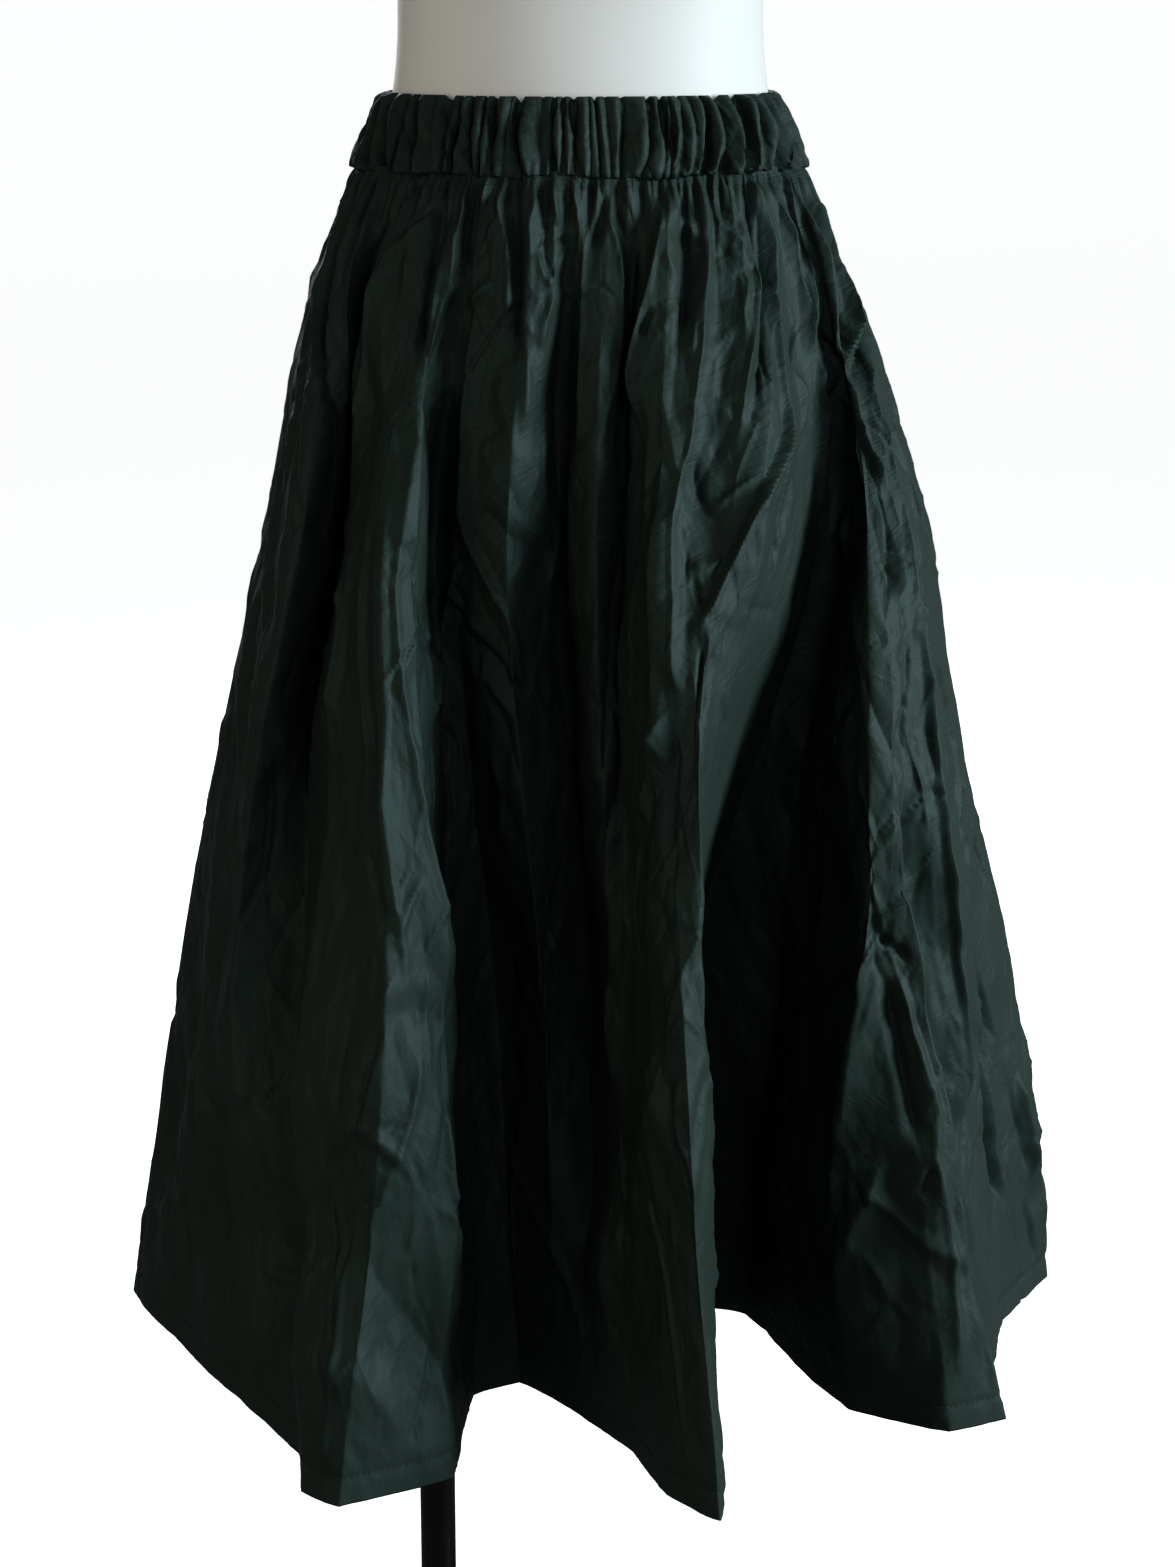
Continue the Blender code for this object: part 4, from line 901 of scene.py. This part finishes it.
def taffeta():
    """Crisp plain-woven taffeta: yarns a little uneven in thickness across the weave, the
    faint fine wrinkles of handling, and a soft silky lustre with a cool tint. The yarns
    are drawn about three times as coarse as they are."""
    made, tree, shader = plain_finish("bottle_green_woven_taffeta", DYED_DARK, 0.6, 0.22)
    cut = add_node(tree, "ShaderNodeAttribute", {"attribute_name": "cut"}).outputs["Vector"]
    across = add_node(tree, "ShaderNodeMapping", links={"Vector": cut}, Scale=YARNS_A_METRE)
    yarns = {"Vector": across.outputs["Vector"]}
    weft = add_node(tree, "ShaderNodeTexNoise", links=yarns, Scale=1.0, Detail=2.0)
    handled = add_node(tree, "ShaderNodeMapping", links={"Vector": cut}, Scale=WRINKLES_A_METRE)
    handled = {"Vector": handled.outputs["Vector"]}
    wrinkles = add_node(tree, "ShaderNodeTexNoise", links=handled, Scale=1.0, Detail=3.0, Roughness=0.55)
    height = {"Height": weft.outputs["Fac"]}
    fine = add_node(tree, "ShaderNodeBump", links=height, Strength=0.25, Distance=0.0001)
    height = {"Height": wrinkles.outputs["Fac"], "Normal": fine.outputs["Normal"]}
    worn = add_node(tree, "ShaderNodeBump", links=height, Strength=0.6, Distance=0.0018)
    dye = add_node(tree, "ShaderNodeTexNoise", links={"Vector": cut}, Scale=9.0, Detail=2.0)
    shade = add_node(tree, "ShaderNodeMix", {"data_type": "RGBA"}, links={"Factor": dye.outputs["Fac"]})
    shade.inputs["A"].default_value = linear(DYED_DARK)
    shade.inputs["B"].default_value = linear(DYED_LIGHT)
    tree.links.new(shade.outputs["Result"], shader.inputs["Base Color"])
    tree.links.new(worn.outputs["Normal"], shader.inputs["Normal"])
    shader.inputs["Specular Tint"].default_value = (0.70, 0.95, 1.0, 1.0)
    return made


def grain_bump(tree, shader, scale, strength, distance):
    """A fine even grain all over, raised by distance metres."""
    place = add_node(tree, "ShaderNodeTexCoord").outputs["Object"]
    grain = add_node(tree, "ShaderNodeTexNoise", links={"Vector": place}, Scale=scale, Detail=2.0)
    height = {"Height": grain.outputs["Fac"]}
    bump = add_node(tree, "ShaderNodeBump", links=height, Strength=strength, Distance=distance)
    tree.links.new(bump.outputs["Normal"], shader.inputs["Normal"])


def sewing_thread():
    """Matching thread, its colour painted a little lighter than the cloth's all over: a painted highlight for
    the light catching its twist.
    """
    return plain_finish("green_polyester_thread", "#2E4039", 0.6)[0]


def moulded_shell():
    """The form's matte white moulded shell, with a faint unevenness like fine casting."""
    made, tree, shader = plain_finish("matte_white_moulded_plastic", "#ECEBE7", 0.55)
    grain_bump(tree, shader, scale=260.0, strength=0.15, distance=0.0003)
    return made


def coated_steel():
    """Black powder-coated steel: dark, with a fine orange-peel texture and a dull shine."""
    made, tree, shader = plain_finish("black_powder_coated_steel", "#0B0B0D", 0.42)
    grain_bump(tree, shader, scale=900.0, strength=0.25, distance=0.0002)
    return made


green_taffeta = taffeta()

# ---- the skirt ----


def calm_normals(points):
    """Outward normals evened out along the rows, so that cloth raised along them doesn't
    cross itself in a deep fold."""
    normals = closed_normals(points)
    calm = sum(np.roll(normals, step, axis=1) for step in range(-CALM_COLUMNS, CALM_COLUMNS + 1))
    return calm / np.linalg.norm(calm, axis=-1, keepdims=True)


def sewn(arcs, shares, drops):
    """Where the sewing draws the cloth in: the side seams and the hem's stitches."""
    heights = -SIDE_SEAM_DEPTH * smooth_step(1 - from_side_seam(arcs) / SIDE_SEAM_REACH)
    from_stitches = np.abs(drops - (SKIRT_LENGTH - HEM_TURN_UP))
    heights -= HEM_DIMPLE * smooth_step(1 - from_stitches / (4 * MM))[:, None]
    pucker_drops = BAND_HEIGHT + FREE_BELOW + from_stitches
    return heights + gather_heights(shares, pucker_drops, HEM_PUCKERS)


def cloth_grid():
    """The cloth's points: the smooth folds, raised by the gathers, the crumpled facets,
    the creases and the sewing."""
    shares = panel_shares()
    drops = row_drops()
    points = raised(smooth_section(shares, drops), drops)
    arcs = arc_positions(points)
    heights = sum(gather_heights(shares, drops, kind) for kind in (SEAM_GATHERS, LONG_GATHERS, SEAM_PINCHES))
    from_side = np.minimum(shares * 360 % 180, 180 - shares * 360 % 180)
    heights *= GATHERS_AT_SIDE + (1 - GATHERS_AT_SIDE) * smooth_step(from_side / SIDE_DEGREES)
    heights += crumpled(points, arcs, shares, drops) + sewn(arcs, shares, drops) + seam_sink(drops)[:, None]
    for crease in list(CREASES) + back_creases():
        add_crease(heights, arcs, shares, drops, crease)
    return shares, drops, points + calm_normals(points) * heights[..., None]


def hem_inside(points, normals):
    """The turned-up edge behind the hem, as rows from the fold to its raw edge."""
    rows = []
    for up in np.array(TURNED_ROWS) * MM:
        row = int(np.argmin(np.abs(points[:, 0, 2] - points[-1, 0, 2] - up)))
        rows.append(points[row] - normals[row] * HEM_INSIDE)
    return np.stack(rows)


def hem_stitches(points, normals):
    """One row of stitches round the skirt, each a short flat bar on the face."""
    row = int(np.argmin(np.abs(points[:, 0, 2] - (WAIST_TOP - SKIRT_LENGTH + HEM_TURN_UP))))
    line = points[row] + normals[row] * 0.35 * STITCH_WIDTH
    line = np.concatenate([line, line[:1]])
    out = np.concatenate([normals[row], normals[row][:1]])
    length = np.concatenate([[0], np.cumsum(np.linalg.norm(np.diff(line, axis=0), axis=1))])
    starts = np.arange(0, length[-1] - STITCH_LENGTH, STITCH_LENGTH + STITCH_GAP)
    corners, faces = [], []
    for start in starts:
        first, last = (
            np.array([np.interp(start + reach, length, axis) for axis in line.T])
            for reach in (0, STITCH_LENGTH)
        )
        outward = np.array([np.interp(start, length, axis) for axis in out.T])
        along = (last - first) / np.linalg.norm(last - first)
        upward = np.cross(along, outward)
        base = len(corners)
        taper = along * STITCH_TAPER
        for end, grow in ((first, 0.4), (first + taper, 1), (last - taper, 1), (last, 0.4)):
            half_width = 0.5 * STITCH_WIDTH * grow
            corners += [end - upward * half_width, end + outward * half_width, end + upward * half_width]
        for step in (0, 3, 6):
            low = base + step
            faces += [(low + a, low + b, low + b + 3, low + a + 3) for a, b in ((0, 1), (1, 2), (2, 0))]
        faces += [(base, base + 2, base + 1), (base + 9, base + 10, base + 11)]
    mesh = bpy.data.meshes.new("hem_stitches")
    mesh.from_pydata([tuple(corner) for corner in corners], [], faces)
    made = bpy.data.objects.new("hem_stitches", mesh)
    mesh.shade_smooth()
    bpy.context.scene.collection.objects.link(made)
    mesh.materials.append(sewing_thread())
    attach(made, "root")


def panels():
    """The two panels with the turned-up hem and its stitches."""
    shares, drops, points = cloth_grid()
    normals = closed_normals(points)
    hem_stitches(points, normals)
    turned = hem_inside(points, normals)
    arcs = arc_positions(points)[:, :-1]
    down = np.broadcast_to(drops[:, None], arcs.shape)
    places = np.stack([arcs, down, 0 * arcs], axis=-1)
    inside = np.broadcast_to(places[-1], turned.shape) + np.array([0, 0.01, 0])
    points, places = np.concatenate([points, turned]), np.concatenate([places, inside])
    normals = closed_normals(points)
    third = FRONT_COLUMNS // 3
    stretches = (
        ("front_panel_left", "skirt_front", 0, third),
        ("front_panel_middle", "skirt_front", third, third),
        ("front_panel_right", "skirt_front", 2 * third, third),
        ("back_panel", "skirt_back", FRONT_COLUMNS, BACK_COLUMNS),
    )
    for name, node, first, count in stretches:
        picked = np.arange(first, first + count + 1) % len(shares)
        piece = sheet_mesh(name, points[:, picked], closed=False, normals=normals[:, picked])
        store_cut(piece, places[:, picked])
        piece.data.materials.append(green_taffeta)
        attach(piece, "root")
        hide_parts(node)


panels()

# ---- waistband ----


def ruche_lines():
    """All the ruches round the band: heights and shares, at three heights of the band."""
    front = np.array([(r.top, r.middle, r.bottom) for r in RUCHES])
    order = np.arange(len(front))[:, None]
    change = 1 + RUCHE_CHANGE * np.sin(2.1 * order + np.array([0.0, 1.9, 3.8]))
    at_sides = 1 + DEEPER_AT_SIDES * np.cos(np.radians(front[:, 1:2])) ** 2
    heights = np.array([[r.height] for r in RUCHES]) * RUCHE_DEPTH * MM * change * at_sides
    stray = BACK_SHIFT * np.sin(order * 1.9) * np.array([1.0, 0.3, -0.8])
    both = np.concatenate([front, 360 - front[::-1] + stray])
    both = np.maximum.accumulate(both + np.arange(len(both))[:, None] * 1e-6, axis=0)
    return np.concatenate([heights, heights[::-1]]), both / 360


def inner_wall(drop):
    """How far out the casing's inner side is at a drop: below 0, deeper further down."""
    return -BAND_WALL - INNER_SLOPE * drop


def band_rows():
    """Rows of the casing: (drop, how far out, share of the ruches). Up the outside from
    the seam, over the top edge and down inside."""
    rows = [(BAND_HEIGHT + below * MM, out * MM, fullness) for below, out, fullness in BAND_SEAM_ROWS]
    shares = np.linspace(1, 0.045, BAND_OUTER_ROWS)
    for share in shares:
        fullness = BAND_HELD + (1 - BAND_HELD) * math.sin(math.pi * share) ** 0.6
        rows.append((BAND_HEIGHT * share, float(np.interp(share, *zip(*BAND_PUFF))), fullness))
    rows += [(drop * MM, out * MM, fullness) for drop, out, fullness in BAND_TOP_ROWS]
    rows += [(drop, inner_wall(drop), 0.1) for drop in np.linspace(1.5 * MM, BAND_INSIDE, 8)]
    return rows


def bend_weights(share, bend):
    """Weights of the top, middle and bottom values: straight between them with a bend of
    0, on a smooth bend through them with 1."""
    straight = np.array([max(1 - 2 * share, 0), 1 - abs(1 - 2 * share), max(2 * share - 1, 0)])
    line = np.array([1 - share, 0, share])
    smooth = np.array([(1 - share) * (1 - 2 * share), 4 * share * (1 - share), share * (2 * share - 1)])
    return straight if bend is None else smooth * bend + line * (1 - bend)


def waistband_grid():
    """The casing's points: its smooth wall, raised by the ruches and fine crumples."""
    at = np.arange(BAND_COLUMNS) / BAND_COLUMNS
    angle = at * 2 * math.pi
    heights, lines = ruche_lines()
    pinches = gather_heights(at, [BAND_HEIGHT], SEAM_PINCHES)[0]
    grid = []
    for drop, out, fullness in band_rows():
        share = min(max(drop / BAND_HEIGHT, 0), 1)
        placed = np.maximum.accumulate(lines @ bend_weights(share, RUCHE_BEND))
        ruche = pleated_row(at, placed, heights @ bend_weights(share, None), RUCHE_ROUND)
        pinched = float(smooth_step((share - PINCHED_FROM) / (1 - PINCHED_FROM)))
        raised_by = out + ruche * fullness + PINCHED * pinches * pinched
        raised_by -= float(np.interp(share, *zip(*BAND_NARROW))) * np.cos(angle) ** 4
        if out > -0.5 * MM:  # an outer row: it stays clear of the casing's inner side
            raised_by = np.maximum(raised_by, inner_wall(drop) + BAND_CLOTH)
        half_sizes = [top + (low - top) * share for top, low in zip(BAND_TOP, BAND_BOTTOM)]
        across, deep = half_sizes[0] + raised_by, half_sizes[1] + raised_by
        dip = np.maximum(-ruche, 0) * TOP_SCALLOP * float(smooth_step(1 - drop / (6 * MM)))
        lifted = LIFTED * pinches * float(smooth_step((share - LIFTED_FROM) / (1 - LIFTED_FROM)))
        height = WAIST_TOP - drop - dip + lifted
        grid.append(np.stack([-across * np.cos(angle), -deep * np.sin(angle), height], axis=-1))
    points = np.stack(grid)
    crumples = sum(facets.height * facet_field(points, facets, BAND_FACET_SEED) for facets in BAND_FACETS)
    crumples += BAND_NETWORK.rise * network_field(points, BAND_NETWORK, BAND_NETWORK_SEED)
    down = points[:, :1, 2] - WAIST_TOP
    return points + closed_normals(points) * (crumples * smooth_step(-down / (6 * MM)))[..., None]


def waistband():
    """The ruched casing as one closed sheet, from the seam over the top edge and inside."""
    points = waistband_grid()
    piece = sheet_mesh("waistband_casing", points[:, ::-1], closed=True)
    arcs = arc_positions(points)[:, :-1]
    steps = np.linalg.norm(np.diff(points, axis=0, prepend=points[:1]), axis=-1)
    places = np.stack([arcs, np.cumsum(steps, axis=0), 0 * arcs], axis=-1)
    store_cut(piece, places[:, ::-1])
    piece.data.materials.append(green_taffeta)
    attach(piece, "root")
    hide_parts("waistband")


waistband()

# ---- dress form ----


def shrunk(ring, share):
    """A smaller ring in the same plane, to close an end."""
    centre = ring.mean(axis=0)
    return centre + (ring - centre) * share


def smooth_form():
    """The form's sections again with finer rings and more sides."""
    sections = np.array(FORM_SECTIONS)
    rises = sections[:, 0]
    fine = np.unique(np.concatenate([rises, np.linspace(rises[0], rises[-1], FORM_RINGS)]))
    sizes = down_the_cloth(sections[:, 1:], rises, fine)
    angle = np.arange(FORM_SIDES) * 2 * math.pi / FORM_SIDES
    rings = []
    for rise, (half_width, front, back, square) in zip(fine, sizes):
        across, deep = (np.sign(v) * np.abs(v) ** (2 / square) for v in (np.cos(angle), np.sin(angle)))
        depth = np.where(deep > 0, front, back)
        rings.append(np.stack([-half_width * across, -depth * deep, 0 * across + WAIST_TOP + rise], axis=-1))
    inward = (0.001, 0.33, 0.66)
    below = [shrunk(rings[0], share) for share in inward]
    above = [shrunk(rings[-1], share) for share in reversed(inward)]
    points = np.stack(below + rings + above)[::-1, ::-1]
    piece = sheet_mesh("form_shell", points, closed=True)
    piece.data.materials.append(moulded_shell())
    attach(piece, "root")
    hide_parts("dress_form")


smooth_form()


def stand():
    """Coats the stand's solids, which show as they are."""
    steel = coated_steel()
    for name in ("pole", "form_collar", "base_collar", "base_plate"):
        for slot in bpy.data.objects[name].material_slots:
            slot.material = steel


stand()

# ---- studio ----

CAMERA_PLACE = (0.0045, -2.0, 1.222)
CAMERA_TILT = 14.74  # degrees down
SENSOR = 36  # mm
CAMERA_LENS = SENSOR * 3080 / 1567  # mm: a focal length of 3080 for a frame 1567 high
DARK_TONES = ((0.012, 0.0065), (0.035, 0.031), (0.07, 0.072))  # (tone, where it is drawn)
SWEEP_SIDES = 72
# (distance from the middle, height), in metres
SWEEP_PROFILE = ((0.01, 0.0), (3.0, 0.0), (8.0, 0.0), (9.0, 0.15), (9.7, 0.6), (10.0, 1.4), (10.1, 9.0))


def look_from(location, tilt_degrees, lens):
    """The scene's camera, level from side to side."""
    camera = bpy.data.objects.new("camera", bpy.data.cameras.new("camera"))
    camera.location = location
    camera.rotation_euler = (math.radians(90 - tilt_degrees), 0, 0)
    camera.data.lens = lens
    camera.data.sensor_width = SENSOR
    bpy.context.scene.collection.objects.link(camera)
    bpy.context.scene.camera = camera


def soft_light(name, location, target, size, power, colour):
    """A soft square light that faces its target. size in metres, power in watts."""
    lamp = bpy.data.lights.new(name, "AREA")
    lamp.shape = "RECTANGLE"
    lamp.size, lamp.size_y = size
    lamp.energy = power
    lamp.color = colour
    made = bpy.data.objects.new(name, lamp)
    made.location = location
    made.rotation_euler = (Vector(target) - Vector(location)).to_track_quat("-Z", "Y").to_euler()
    bpy.context.scene.collection.objects.link(made)


look_from(CAMERA_PLACE, CAMERA_TILT, CAMERA_LENS)
soft_light("window", (2.65, -0.95, 1.45), (0, 0, 0.9), (1.0, 1.3), 84, (0.81, 0.94, 1.0))
soft_light("front_room", (1.1, -3.0, 2.1), (0, 0, 0.9), (0.9, 0.9), 15, (0.95, 0.98, 1.0))
soft_light("room", (-2.4, -1.8, 1.3), (0, 0, 0.8), (1.2, 1.2), 15, (1.0, 0.88, 0.68))
soft_light("rear_room", (-0.6, 3.2, 1.9), (0, 0, 0.9), (2.0, 1.6), 85, (0.95, 0.98, 1.0))
world = bpy.data.worlds.new("room_air")
world.use_nodes = True
world.node_tree.nodes["Background"].inputs["Color"].default_value = (0.9, 0.95, 1.0, 1.0)
world.node_tree.nodes["Background"].inputs["Strength"].default_value = 0.12
bpy.context.scene.world = world


def contrast(points):
    """Plain colours, with a camera's contrast in the dark tones."""
    view = bpy.context.scene.view_settings
    view.view_transform = "Standard"
    view.use_curve_mapping = True
    curve = view.curve_mapping.curves[3]
    for place in points:
        curve.points.new(*place)
    view.curve_mapping.update()


contrast(DARK_TONES)


def sweep():
    """A pale paper sweep all round: floor, bend and wall in one."""
    angles = np.arange(SWEEP_SIDES) * 2 * math.pi / SWEEP_SIDES
    rings = [[(r * math.cos(a), r * math.sin(a), z - 0.5 * MM) for a in angles] for r, z in SWEEP_PROFILE]
    made = sheet_mesh("paper_sweep", np.array(rings), closed=True)
    paper, tree, shader = plain_finish("white_paper", "#F4F4F2", 0.9)
    shader.inputs["Emission Color"].default_value = (1, 1, 1, 1)
    shader.inputs["Emission Strength"].default_value = 0.85
    made.data.materials.append(paper)
    made.visible_diffuse = False
    made.visible_glossy = False
    made.visible_shadow = False


sweep()
